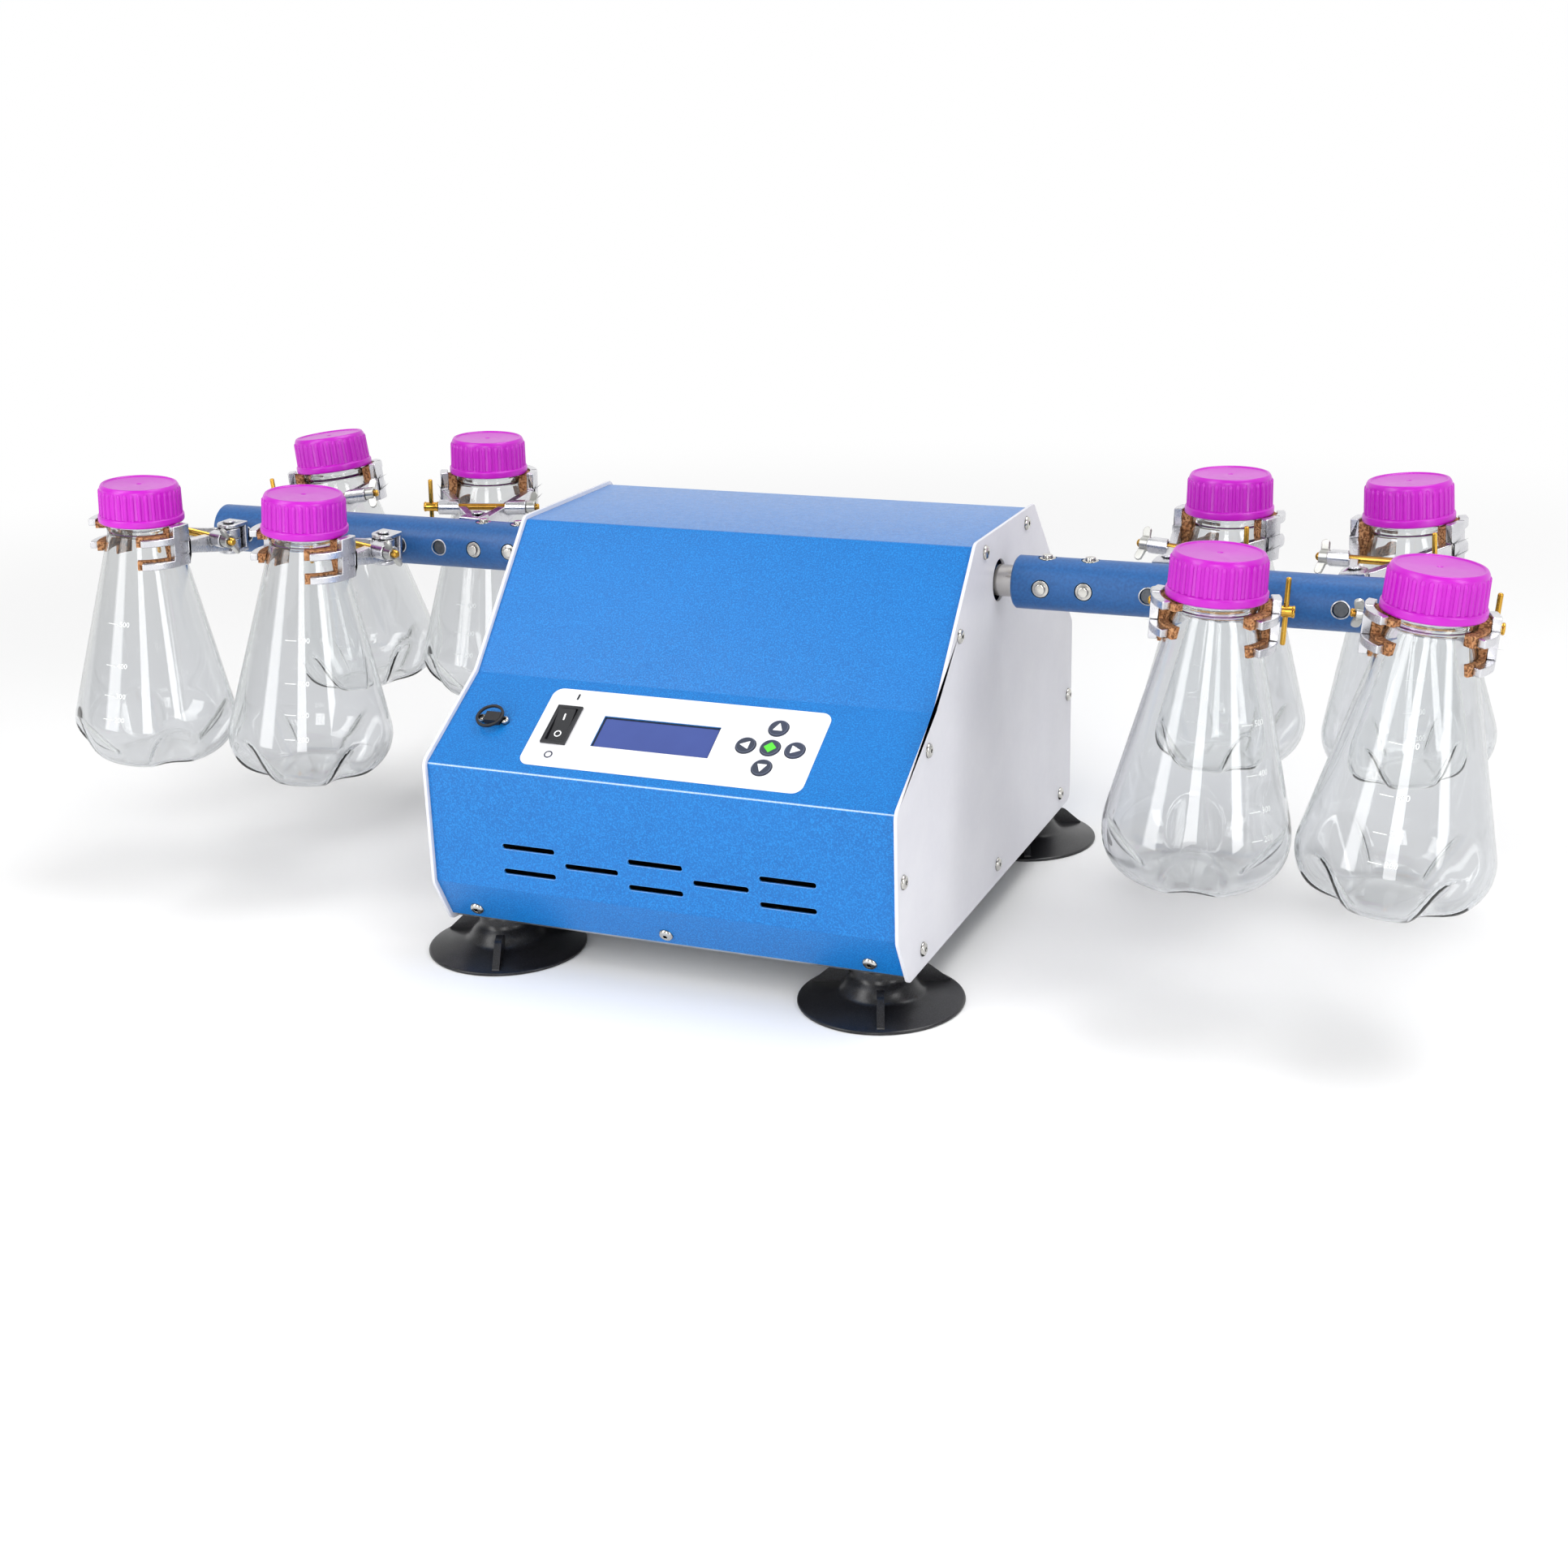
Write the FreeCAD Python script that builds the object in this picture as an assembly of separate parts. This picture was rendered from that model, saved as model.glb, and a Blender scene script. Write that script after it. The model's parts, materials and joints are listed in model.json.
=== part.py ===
"""Hand motion shaker: a bench housing on suction feet whose cross shaft rocks two arms of clamped flasks.

Units are millimetres. The origin lies on the bench, under the swing shaft, in the housing's mid-plane.
+X runs along the shaft to the right-hand arm, -Y faces the user and +Z is up.
"""
import FreeCAD, Part
import math
import os

V = FreeCAD.Vector
X_AXIS = V(1, 0, 0)
Y_AXIS = V(0, 1, 0)
Z_AXIS = V(0, 0, 1)

# Clearances
RUNNING_FIT = 0.05
SLIDE_FIT = 0.2
PRESS_SEAT = 0.02
SOFT_GAP = 0.3
KEY_GAP = 0.3

# Housing outline, seen from the side. Depths count from the front face, heights from the bench.
SHAFT_DEPTH = 182.9
HOUSING_DEPTH = 347.0
BASE_HEIGHT = 23.0
TOP_HEIGHT = 248.5
SHAFT_DROP = 32.0
SHAFT_HEIGHT = TOP_HEIGHT - SHAFT_DROP
CHAMFER_TOP_HEIGHT = 53.4
CHAMFER_DEPTH = 16.3
CONSOLE_LOW_HEIGHT = 129.9
CONSOLE_HIGH_HEIGHT = 168.3
CONSOLE_DEPTH = 66.0
TOP_FRONT_DEPTH = 138.1
TOP_REAR_DEPTH = 255.0
REAR_SHOULDER_HEIGHT = 150.0

# Housing sheet metal
COVER_WIDTH = 293.6
PANEL_THICKNESS = 2.0
PANEL_LIP = 2.5
PANEL_CORNER = 7.0
SHEET = 1.5
BEND_RADIUS = 3.0
FLANGE_WIDTH = 16.0
FLANGE_RELIEF = 5.0
COVER_LIFT = 2.0
PAN_SHEET = 2.0
PAN_GAP = 0.4
PAN_LIP = 20.0

# Ventilation slots in the front face
VENT_LENGTH = 34.6
VENT_HEIGHT = 3.2
VENT_PITCH = 41.2
VENT_ROW_HEIGHT = 73.6
VENT_ROW_OFFSET = 7.8

# Case screws
SCREW_HEAD_RADIUS = 4.4
SCREW_HEAD_HEIGHT = 2.0
SCREW_SHANK_RADIUS = 2.0
SCREW_LENGTH = 6.0
SCREW_EDGE = 9.0
SCREW_BASE_EDGE = 12.0
FRONT_SCREW_PITCH = 126.8
FRONT_SCREW_EDGE = 10.0
BASE_SCREW_FRONT = 40.1
BASE_SCREW_REAR = 25.3

# Suction feet
FOOT_SPREAD = 123.15
FOOT_FRONT_DEPTH = 39.8
FOOT_REAR_DEPTH = 323.3
FOOT_RADIUS = 48.75
FOOT_RIM = 1.6
FOOT_NECK_RADIUS = 16.5
FOOT_CUP_DEPTH = 5.0
FOOT_TAB_WIDTH = 4.4
FOOT_TAB_INNER = 24.0
FOOT_TAB_HEIGHT = 14.0
FOOT_TAB_COUNT = 3
FOOT_STUD_RADIUS = 4.0
FOOT_TAB_START = 50.0

# Control panel on the console slope. Runs count up the slope from its lower fold.
OVERLAY_WIDTH = 178.6
OVERLAY_HEIGHT = 61.0
OVERLAY_CORNER = 6.5
OVERLAY_THICKNESS = 0.5
OVERLAY_RUN = 37.5
WINDOW_WIDTH = 75.0
WINDOW_HEIGHT = 24.2
WINDOW_X = -11.6
WINDOW_RUN = 37.7
WINDOW_PANE = 0.8
DISPLAY_MARGIN = 6.0
DISPLAY_DEPTH = 6.0
SWITCH_X = -73.0
SWITCH_RUN = 38.8
SWITCH_WIDTH = 16.4
SWITCH_HEIGHT = 30.0
SWITCH_BEZEL = 1.6
SWITCH_WALL = 2.2
SWITCH_BODY_DEPTH = 16.0
ROCKER_DEPTH = 6.0
ROCKER_TILT = 8.0
KEY_RADIUS = 6.0
KEY_PITCH = 15.1
KEY_X = 60.4
KEY_RUN = 37.9
KEY_PROUD = 0.7
KEY_STEM = 3.0
KEY_TRAVEL = 0.4
PORT_X = -118.2
PORT_RUN = 37.6
PORT_WIDTH = 9.6
PORT_HEIGHT = 5.4
PORT_PROUD = 1.4
PORT_DEPTH = 9.0
JACK_SPREAD = 7.6
JACK_RADIUS = 2.6
JACK_HEIGHT = 3.0
CAP_WIDTH = 11.2
CAP_HEIGHT = 7.0
CAP_PROUD = 4.6
LOOP_RADIUS = 8.8
LOOP_WIRE = 1.6

# Swing shaft, bearings and arms
SHAFT_RADIUS = 9.525
SHAFT_HOLE_RADIUS = 12.7
ARM_RADIUS = 15.9
ARM_INNER_END = 160.0
ARM_LENGTH = 250.7
ARM_BORE_DEPTH = 62.0
ARM_CHAMFER = 1.2
ARM_SCREW_OFFSETS = (18.5, 44.5)
ARM_SCREW_HEAD_RADIUS = 5.0
ARM_SCREW_HEAD_HEIGHT = 4.0
ARM_SCREW_SHANK_RADIUS = 3.0
ARM_SCREW_KEY = 5.0
ARM_SCREW_RECESS = 2.5
COUNTERBORE_GAP = 0.6
COUNTERBORE_DEPTH = 4.4
BEARING_X = 118.0
BEARING_RADIUS = 20.0
BEARING_WIDTH = 12.0
BEARING_FLANGE = 34.0
BEARING_FLANGE_THICKNESS = 5.0
UPRIGHT_THICKNESS = 5.0
UPRIGHT_WIDTH = 90.0
UPRIGHT_CROWN = 27.0
UPRIGHT_SHOULDER = 60.0
UPRIGHT_FOOT = 22.0
BRACKET_SHEET = 3.0

# Drive inside the housing
LEVER_X = 34.0
LEVER_THICKNESS = 8.0
LEVER_HUB_RADIUS = 19.0
LEVER_WIDTH = 32.0
CRANK_DROP = 115.0
CRANK_THROW = 10.7
ROLLER_RADIUS = 6.0
ROLLER_GAP = 1.5
SLOT_END_GAP = 4.0
CRANK_DISC_RADIUS = 20.0
CRANK_DISC_THICKNESS = 8.0
CRANK_AIR = 2.0
CRANK_SHAFT_RADIUS = 6.0
CRANK_SHAFT_LENGTH = 30.0
GEARBOX_SIZE = 78.0
GEARBOX_LENGTH = 48.0
MOTOR_RADIUS = 33.0
MOTOR_LENGTH = 66.0
MOTOR_PLATE = 4.0
BOARD_THICKNESS = 1.6
BOARD_DROP = 14.0
BOARD_WIDTH = 168.0
BOARD_HEIGHT = 52.0
INLET_X = -95.0
INLET_Z = 58.0
INLET_WIDTH = 48.0
INLET_HEIGHT = 27.0
INLET_FLANGE = 2.5
INLET_DEPTH = 24.0
INLET_SOCKET_WIDTH = 24.5
INLET_SOCKET_HEIGHT = 17.0
INLET_SOCKET_DEPTH = 17.0

# Clamp: reach from the shaft to the pivot pin and from the pin to the flask's neck
PIVOT_REACH = 34.9
NECK_REACH = 70.6
ROD_RADIUS = 4.5
ROD_HOLE_GAP = 0.25
ROD_SHORT = 0.8
BOSS_RADIUS = 7.5
BOSS_LENGTH = 17.2
FORK_TOP = 12.0
FORK_BOTTOM = -8.0
FORK_PLATE = 2.7
KNUCKLE_SPLIT = 2.0
PIN_RADIUS = 2.4
PIN_HEAD_RADIUS = 3.6
PIN_HEAD_HEIGHT = 1.6
LEVER_PLATE = 5.5
LEVER_ROOT_X = 4.0
LEVER_ROOT_Y = 6.0
LEVER_TAIL_LOW = -5.0
LEVER_TAIL_HIGH = 9.0
LEVER_JAW_LOW = 9.5
LEVER_JAW_HIGH = 17.0
JAW_INNER_RADIUS = 29.0
JAW_THICKNESS = 5.0
JAW_BAR_BACK = 20.0
JAW_BAR_FRONT = -4.0
FINGER_END = -41.0
FINGER_HEIGHT = 4.6
RIGHT_BAR = (1.0, 27.6)
RIGHT_FINGERS = (16.0, 1.0)
LEFT_BAR = (1.0, 27.6)
LEFT_FINGERS = (22.4, 7.4)
CORK_MARGIN = 0.8
CORK_SKIRT_GAP = 1.0
CORK_OVERHANG = 6.0
SCREW_REACH = 29.0
SCREW_LEVEL = 10.5
SCREW_RADIUS = 2.5
SCREW_SLOT = 14.5
PAD_FACE = 30.0
PAD_RADIUS = 5.4
PAD_FLAT = 1.0
SCREW_BOSS_RADIUS = 3.8
SCREW_BOSS_LENGTH = 10.0
SCREW_TAIL = 46.0
TOMMY_RADIUS = 1.5
TOMMY_LENGTH = 38.0
NUT_RADIUS = 4.4
NUT_LENGTH = 6.0
WING_LENGTH = 12.0
WING_ROOT = 2.8
WING_END_RADIUS = 2.6
WING_LEAN = 12.0
WING_THICKNESS = 2.2
WING_SLOPE = 35.0
THROUGH = 60.0

# Flask and screw cap, heights from the lower edge of the cap's skirt
SKIRT_LEVEL = 26.4
FLASK_HEIGHT = 159.0
FLASK_WALL = 2.2
FLASK_MOUTH_RADIUS = 20.5
FLASK_MOUTH_TOP = 21.6
FLASK_BEAD_RADIUS = 22.5
FLASK_BEAD_TOP = -0.6
FLASK_BEAD_BOTTOM = -5.0
FLASK_CONE_TOP = -10.0
FLASK_CONE_RADIUS = 22.6
FLASK_CONE_ANGLE = 13.8
FLASK_CORNER = 26.0
BAFFLE_COUNT = 4
BAFFLE_RADIUS = 20.0
BAFFLE_DEPTH = 9.5
CAP_TOP = 24.6
CAP_SKIRT_RADIUS = 27.0
CAP_SKIRT_HEIGHT = 5.0
CAP_RIB_RADIUS = 26.2
CAP_ROOT_RADIUS = 25.3
CAP_RIBS = 36
CAP_BORE_GAP = 0.4
CAP_RECESS_RADIUS = 22.5
CAP_RECESS = 0.8

# Rod places along the shaft, inner and outer clamp of each row
RIGHT_FRONT_RODS = (290.0, 398.0)
RIGHT_REAR_RODS = (242.6, 351.8)
LEFT_FRONT_RODS = (-261.0, -383.0)
LEFT_REAR_RODS = (-230.6, -360.0)

# Clamp stations: rod place, row (-1 front, +1 rear), clamp's lean and swivel, and flask's turn in degrees
STATIONS = {
    "right_front_inner": (RIGHT_FRONT_RODS[0], -1, 2.9, 7.6, -40.6),
    "right_front_outer": (RIGHT_FRONT_RODS[1], -1, 4.7, 8.8, -8.8),
    "right_rear_inner": (RIGHT_REAR_RODS[0], 1, 0.0, -17.7, 10.0),
    "right_rear_outer": (RIGHT_REAR_RODS[1], 1, -3.4, -17.5, 30.0),
    "left_front_inner": (LEFT_FRONT_RODS[0], -1, 4.6, -10.1, 35.1),
    "left_front_outer": (LEFT_FRONT_RODS[1], -1, 3.4, -13.1, 20.1),
    "left_rear_inner": (LEFT_REAR_RODS[0], 1, 2.1, 23.2, -20.0),
    "left_rear_outer": (LEFT_REAR_RODS[1], 1, -6.0, 20.3, 5.0),
}


def box(x0, x1, y0, y1, z0, z1):
    """Block between two corners."""
    return Part.makeBox(x1 - x0, y1 - y0, z1 - z0, V(x0, y0, z0))


def rod(start, direction, radius, length):
    """Round bar from a point along a direction."""
    return Part.makeCylinder(radius, length, start, direction)


def fuse(shapes):
    """Join shapes into one clean solid."""
    joined = shapes[0].multiFuse(shapes[1:])
    return joined.removeSplitter()


def prism(points, direction):
    """Straight prism over a polygon."""
    wire = Part.makePolygon(points + [points[0]])
    return Part.Face(wire).extrude(direction)


def turned(profile, degrees=360.0):
    """Solid turned about Z from a profile of (radius, height) points."""
    points = [V(r, 0, z) for r, z in profile]
    face = Part.Face(Part.makePolygon(points + [points[0]]))
    return face.revolve(V(0, 0, 0), Z_AXIS, degrees)


def rounded_wire(corners, radius):
    """Closed wire through the corners with a tangent arc at each one."""
    edges = []
    count = len(corners)
    starts = []
    ends = []
    for i, corner in enumerate(corners):
        before = (corners[i - 1] - corner).normalize()
        after = (corners[(i + 1) % count] - corner).normalize()
        half = before.getAngle(after) / 2.0
        reach = radius / math.tan(half)
        middle = (before + after).normalize() * (radius / math.sin(half) - radius)
        starts.append((corner + before * reach, corner + middle))
        ends.append(corner + after * reach)
    for i in range(count):
        start, middle = starts[i]
        edges.append(Part.Arc(start, middle, ends[i]).toShape())
        edges.append(Part.LineSegment(ends[i], starts[(i + 1) % count][0]).toShape())
    return Part.Wire(edges)


def offset_outline(points, inset):
    """Polygon of (y, z) points moved inwards by inset, for an outline listed clockwise seen from +X."""
    moved = []
    count = len(points)
    for i in range(count):
        (ya, za), (yb, zb), (yc, zc) = points[i - 1], points[i], points[(i + 1) % count]
        first = math.atan2(zb - za, yb - ya)
        second = math.atan2(zc - zb, yc - yb)
        turn = (second - first) / 2.0
        turn = math.atan2(math.sin(turn), math.cos(turn))
        mean = first + turn - math.pi / 2
        length = inset / math.cos(turn)
        moved.append((yb + length * math.cos(mean), zb + length * math.sin(mean)))
    return moved


def housing_outline():
    """Side outline of the end panels as (y, z), clockwise from the bottom front corner."""
    front = -SHAFT_DEPTH
    rear = HOUSING_DEPTH - SHAFT_DEPTH
    return [
        (front + CHAMFER_DEPTH, BASE_HEIGHT),
        (front, CHAMFER_TOP_HEIGHT),
        (front, CONSOLE_LOW_HEIGHT),
        (front + CONSOLE_DEPTH, CONSOLE_HIGH_HEIGHT),
        (front + TOP_FRONT_DEPTH, TOP_HEIGHT),
        (front + TOP_REAR_DEPTH, TOP_HEIGHT),
        (rear, REAR_SHOULDER_HEIGHT),
        (rear, BASE_HEIGHT),
    ]


PANEL_OUTLINE = housing_outline()
COVER_OUTLINE = offset_outline(PANEL_OUTLINE, PANEL_LIP)
COVER_INSIDE = offset_outline(PANEL_OUTLINE, PANEL_LIP + SHEET)
HALF_WIDTH = COVER_WIDTH / 2.0


def slab(outline, radius, x0, x1):
    """Extrusion along X of a side outline with rounded corners."""
    corners = [V(x0, y, z) for y, z in outline]
    return Part.Face(rounded_wire(corners, radius)).extrude(V(x1 - x0, 0, 0))


def panel_screw_places():
    """Centres (y, z) of the end panel screws, set in from the outline's edges."""
    inset = offset_outline(PANEL_OUTLINE, SCREW_EDGE)
    places = []
    for edge, share in ((1, 0.46), (2, 0.69), (3, 0.51), (4, 0.12), (4, 0.88), (5, 0.5), (6, 0.4)):
        (ya, za), (yb, zb) = inset[edge], inset[edge + 1]
        places.append((ya + share * (yb - ya), za + share * (zb - za)))
    low = BASE_HEIGHT + SCREW_BASE_EDGE
    first = -SHAFT_DEPTH + BASE_SCREW_FRONT
    last = HOUSING_DEPTH - SHAFT_DEPTH - BASE_SCREW_REAR
    return places + [(first + i * (last - first) / 2.0, low) for i in range(3)]


def case_screw(point, direction):
    """Button-head screw whose head seats at the point and whose shank runs against the direction."""
    dome = Part.makeCone(SCREW_HEAD_RADIUS, SCREW_HEAD_RADIUS * 0.55, SCREW_HEAD_HEIGHT, point, direction)
    shank = rod(point - direction * SCREW_LENGTH, direction, SCREW_SHANK_RADIUS, SCREW_LENGTH)
    return fuse([dome, shank])


def chamfer_normal():
    """Outward normal of the cover's lower front strip."""
    (ya, za), (yb, zb) = COVER_OUTLINE[0], COVER_OUTLINE[1]
    return V(0, za - zb, yb - ya).normalize()


def chamfer_screw_places():
    """Seats of the three screws through the cover's lower front strip."""
    (ya, za), (yb, zb) = COVER_OUTLINE[0], COVER_OUTLINE[1]
    along = V(0, yb - ya, zb - za).normalize()
    low = V(0, ya, za) + along * FRONT_SCREW_EDGE
    return [low + X_AXIS * (FRONT_SCREW_PITCH * i) for i in (-1, 0, 1)]


def console_point(x, run, proud=0.0):
    """Point on the console slope: across, up the slope from its lower fold, and out of the cover."""
    (ya, za), (yb, zb) = COVER_OUTLINE[2], COVER_OUTLINE[3]
    along = V(0, yb - ya, zb - za).normalize()
    return V(x, ya, za) + along * run + console_normal() * proud


def console_normal():
    """Outward normal of the console slope."""
    (ya, za), (yb, zb) = COVER_OUTLINE[2], COVER_OUTLINE[3]
    return V(0, za - zb, yb - ya).normalize()


def console_plate(x, run, width, height, low, high, corner=0.0):
    """Rectangular plate on the console slope between two levels along its normal."""
    corners = []
    for sx, sr in ((-1, -1), (1, -1), (1, 1), (-1, 1)):
        corners.append(console_point(x + sx * width / 2.0, run + sr * height / 2.0, low))
    wire = rounded_wire(corners, corner) if corner else Part.makePolygon(corners + [corners[0]])
    return Part.Face(wire).extrude(console_normal() * (high - low))


def console_disc(x, run, radius, low, high):
    """Disc on the console slope between two levels along its normal."""
    return rod(console_point(x, run, low), console_normal(), radius, high - low)


KEYS = {
    "up_key": (0, 1),
    "down_key": (0, -1),
    "left_key": (-1, 0),
    "right_key": (1, 0),
    "enter_key": (0, 0),
}


def key_place(name):
    """Centre of a key on the console as (x, run)."""
    column, row = KEYS[name]
    return KEY_X + column * KEY_PITCH, KEY_RUN + row * KEY_PITCH


def vent_slot(x, z):
    """Cutter for one round-ended ventilation slot in the front face."""
    front = -SHAFT_DEPTH
    radius = VENT_HEIGHT / 2.0
    half = VENT_LENGTH / 2.0 - radius
    body = box(x - half, x + half, front - SHEET, front + 4 * SHEET, z - radius, z + radius)
    ends = [rod(V(x + s * half, front - SHEET, z), Y_AXIS, radius, 5 * SHEET) for s in (-1, 1)]
    return fuse([body] + ends)


def vent_places():
    """Centres (x, z): two slots in the odd columns and one in the even columns."""
    places = []
    for column in range(-2, 3):
        x = column * VENT_PITCH
        rows = (-1, 1) if column % 2 == 0 else (0,)
        places += [(x, VENT_ROW_HEIGHT + row * VENT_ROW_OFFSET) for row in rows]
    return places


def cover():
    """Bent sheet cover with inward side flanges, relief notches at the folds, slots and cut-outs."""
    outer = slab(COVER_OUTLINE, BEND_RADIUS, -HALF_WIDTH, HALF_WIDTH)
    inner = slab(COVER_INSIDE, BEND_RADIUS - SHEET, -HALF_WIDTH, HALF_WIDTH)
    base = COVER_OUTLINE[0][1] + COVER_LIFT
    open_base = box(-HALF_WIDTH, HALF_WIDTH, -SHAFT_DEPTH, HOUSING_DEPTH, 0, base)
    pieces = [outer.cut([inner, open_base])]
    for edge in range(7):
        (ya, za), (yb, zb) = COVER_INSIDE[edge], COVER_INSIDE[edge + 1]
        along = V(0, yb - ya, zb - za)
        length = along.Length
        along.normalize()
        inward = V(0, along.z, -along.y)
        start = V(0, ya, za) + along * FLANGE_RELIEF
        stop = V(0, ya, za) + along * (length - FLANGE_RELIEF)
        slope = FLANGE_WIDTH * 0.6
        low = start + inward * FLANGE_WIDTH + along * slope
        high = stop + inward * FLANGE_WIDTH - along * slope
        back = inward * (-SHEET / 2.0)
        for x in (-HALF_WIDTH, HALF_WIDTH - SHEET):
            shift = V(x, 0, 0)
            corners = [start + back + shift, stop + back + shift, high + shift, low + shift]
            flange = prism(corners, V(SHEET, 0, 0))
            pieces.append(flange.cut(open_base))
    shell = fuse(pieces)
    cuts = [vent_slot(x, z) for x, z in vent_places()]
    deep = -6.0
    window = console_plate(WINDOW_X, WINDOW_RUN, WINDOW_WIDTH, WINDOW_HEIGHT, deep, 1.0)
    switch = console_plate(SWITCH_X, SWITCH_RUN, SWITCH_WIDTH - SWITCH_WALL, SWITCH_HEIGHT - SWITCH_WALL, deep, 1.0)
    port = console_plate(PORT_X, PORT_RUN, PORT_WIDTH, PORT_HEIGHT, deep, 1.0)
    cuts += [window, switch, port]
    cuts += [console_disc(*key_place(name), KEY_RADIUS + KEY_GAP, deep, 1.0) for name in KEYS]
    for side in (-1, 1):
        cuts.append(console_disc(PORT_X + side * JACK_SPREAD, PORT_RUN, JACK_RADIUS / 2.0, deep, 1.0))
    for seat in chamfer_screw_places():
        cuts.append(rod(seat + chamfer_normal(), chamfer_normal() * -1, SCREW_SHANK_RADIUS, SCREW_LENGTH))
    rear = HOUSING_DEPTH - SHAFT_DEPTH
    cuts.append(box(
        INLET_X - INLET_WIDTH / 2.0 + 8, INLET_X + INLET_WIDTH / 2.0 - 8,
        rear - 8, rear + 1, INLET_Z - INLET_HEIGHT / 2.0 + 1.5, INLET_Z + INLET_HEIGHT / 2.0 - 1.5,
    ))
    for y, z in panel_screw_places():
        cuts.append(rod(V(-HALF_WIDTH - 1, y, z), X_AXIS, SCREW_SHANK_RADIUS, COVER_WIDTH + 2))
    return shell.cut(cuts)


def side_panel(side):
    """Flat end panel with rounded corners, shaft hole and screw holes."""
    inner = side * HALF_WIDTH
    outer = side * (HALF_WIDTH + PANEL_THICKNESS)
    plate = slab(PANEL_OUTLINE, PANEL_CORNER, inner, outer)
    reach = side * PANEL_THICKNESS * 3
    cuts = [Part.makeCylinder(SHAFT_HOLE_RADIUS, abs(reach), V(inner - reach / 3, 0, SHAFT_HEIGHT), V(side, 0, 0))]
    for y, z in panel_screw_places():
        cuts.append(rod(V(inner - reach / 3, y, z), V(side, 0, 0), SCREW_SHANK_RADIUS, abs(reach)))
    return plate.cut(cuts)


def case_screws():
    """Screws of both end panels and of the cover's front strip."""
    screws = []
    for side in (-1, 1):
        face = side * (HALF_WIDTH + PANEL_THICKNESS)
        for y, z in panel_screw_places():
            screws.append(case_screw(V(face, y, z), V(side, 0, 0)))
    for seat in chamfer_screw_places():
        screws.append(case_screw(seat, chamfer_normal()))
    return screws


def pan_outline():
    """Bottom pan's cross section as (y, z): floor with a front lip along the chamfer and a rear lip."""
    inner = offset_outline(PANEL_OUTLINE, PANEL_LIP + SHEET + PAN_GAP)
    (ya, za), (yb, zb) = inner[0], inner[1]
    base = BASE_HEIGHT + COVER_LIFT
    slope = (yb - ya) / (zb - za)
    top = base + PAN_LIP
    rear = inner[-1][0]
    wall = PAN_SHEET * math.hypot(1, slope)
    return [
        (ya + slope * (base - za), base),
        (ya + slope * (top - za), top),
        (ya + slope * (top - za) + wall, top),
        (ya + slope * (base + PAN_SHEET - za) + wall, base + PAN_SHEET),
        (rear - PAN_SHEET, base + PAN_SHEET),
        (rear - PAN_SHEET, top),
        (rear, top),
        (rear, base),
    ]


def chassis():
    """Bottom pan with side lips, two bearing uprights, motor plate, and feet bosses."""
    half = HALF_WIDTH - SHEET - PAN_GAP
    pan = prism([V(-half, y, z) for y, z in pan_outline()], V(2 * half, 0, 0))
    base = BASE_HEIGHT + COVER_LIFT
    floor = base + PAN_SHEET
    front = -SHAFT_DEPTH + CHAMFER_DEPTH + 12
    rear = HOUSING_DEPTH - SHAFT_DEPTH - PANEL_LIP - SHEET - 1
    pieces = [pan]
    for side in (-1, 1):
        x = side * half
        pieces.append(box(min(x, x - side * PAN_SHEET), max(x, x - side * PAN_SHEET), front, rear, base, base + PAN_LIP))
        inner = side * (BEARING_X - BEARING_FLANGE_THICKNESS)
        plate_x = min(inner, inner - side * UPRIGHT_THICKNESS)
        upright = [
            V(plate_x, -UPRIGHT_WIDTH / 2.0, floor),
            V(plate_x, -UPRIGHT_WIDTH / 2.0, SHAFT_HEIGHT - UPRIGHT_SHOULDER),
            V(plate_x, -BEARING_FLANGE / 2.0 - 6, SHAFT_HEIGHT + UPRIGHT_CROWN),
            V(plate_x, BEARING_FLANGE / 2.0 + 6, SHAFT_HEIGHT + UPRIGHT_CROWN),
            V(plate_x, UPRIGHT_WIDTH / 2.0, SHAFT_HEIGHT - UPRIGHT_SHOULDER),
            V(plate_x, UPRIGHT_WIDTH / 2.0, floor),
        ]
        pieces.append(prism(upright, V(UPRIGHT_THICKNESS, 0, 0)))
        low = min(inner, inner - side * UPRIGHT_FOOT)
        half_width = UPRIGHT_WIDTH / 2.0
        pieces.append(box(low, low + UPRIGHT_FOOT, -half_width, half_width, floor, floor + BRACKET_SHEET))
    crank_height = SHAFT_HEIGHT - CRANK_DROP
    plate = motor_plate_x()
    size = GEARBOX_SIZE / 2.0
    pieces.append(box(plate, plate + MOTOR_PLATE, -size, size, floor, crank_height + size))
    pieces.append(box(plate - UPRIGHT_FOOT, plate, -size, size, floor, floor + BRACKET_SHEET))
    frame = fuse(pieces)
    cuts = []
    for side in (-1, 1):
        cuts.append(rod(V(side * BEARING_X, 0, SHAFT_HEIGHT), V(-side, 0, 0), BEARING_RADIUS, 20))
    cuts.append(rod(V(plate - 1, 0, crank_height), X_AXIS, CRANK_SHAFT_RADIUS + 4, MOTOR_PLATE + 2))
    for x, y in foot_places():
        cuts.append(rod(V(x, y, base - 1), Z_AXIS, FOOT_STUD_RADIUS, PAN_SHEET + 4))
    for seat in chamfer_screw_places():
        cuts.append(rod(seat, chamfer_normal() * -1, SCREW_SHANK_RADIUS, SCREW_LENGTH + 2))
    for y, z in panel_screw_places():
        cuts.append(rod(V(-HALF_WIDTH, y, z), X_AXIS, SCREW_SHANK_RADIUS, SCREW_LENGTH))
        cuts.append(rod(V(HALF_WIDTH, y, z), X_AXIS * -1, SCREW_SHANK_RADIUS, SCREW_LENGTH))
    return frame.cut(cuts)


def foot_places():
    """Centres (x, y) of the four feet."""
    return [(sx * FOOT_SPREAD, depth - SHAFT_DEPTH) for depth in (FOOT_FRONT_DEPTH, FOOT_REAR_DEPTH) for sx in (-1, 1)]


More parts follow.
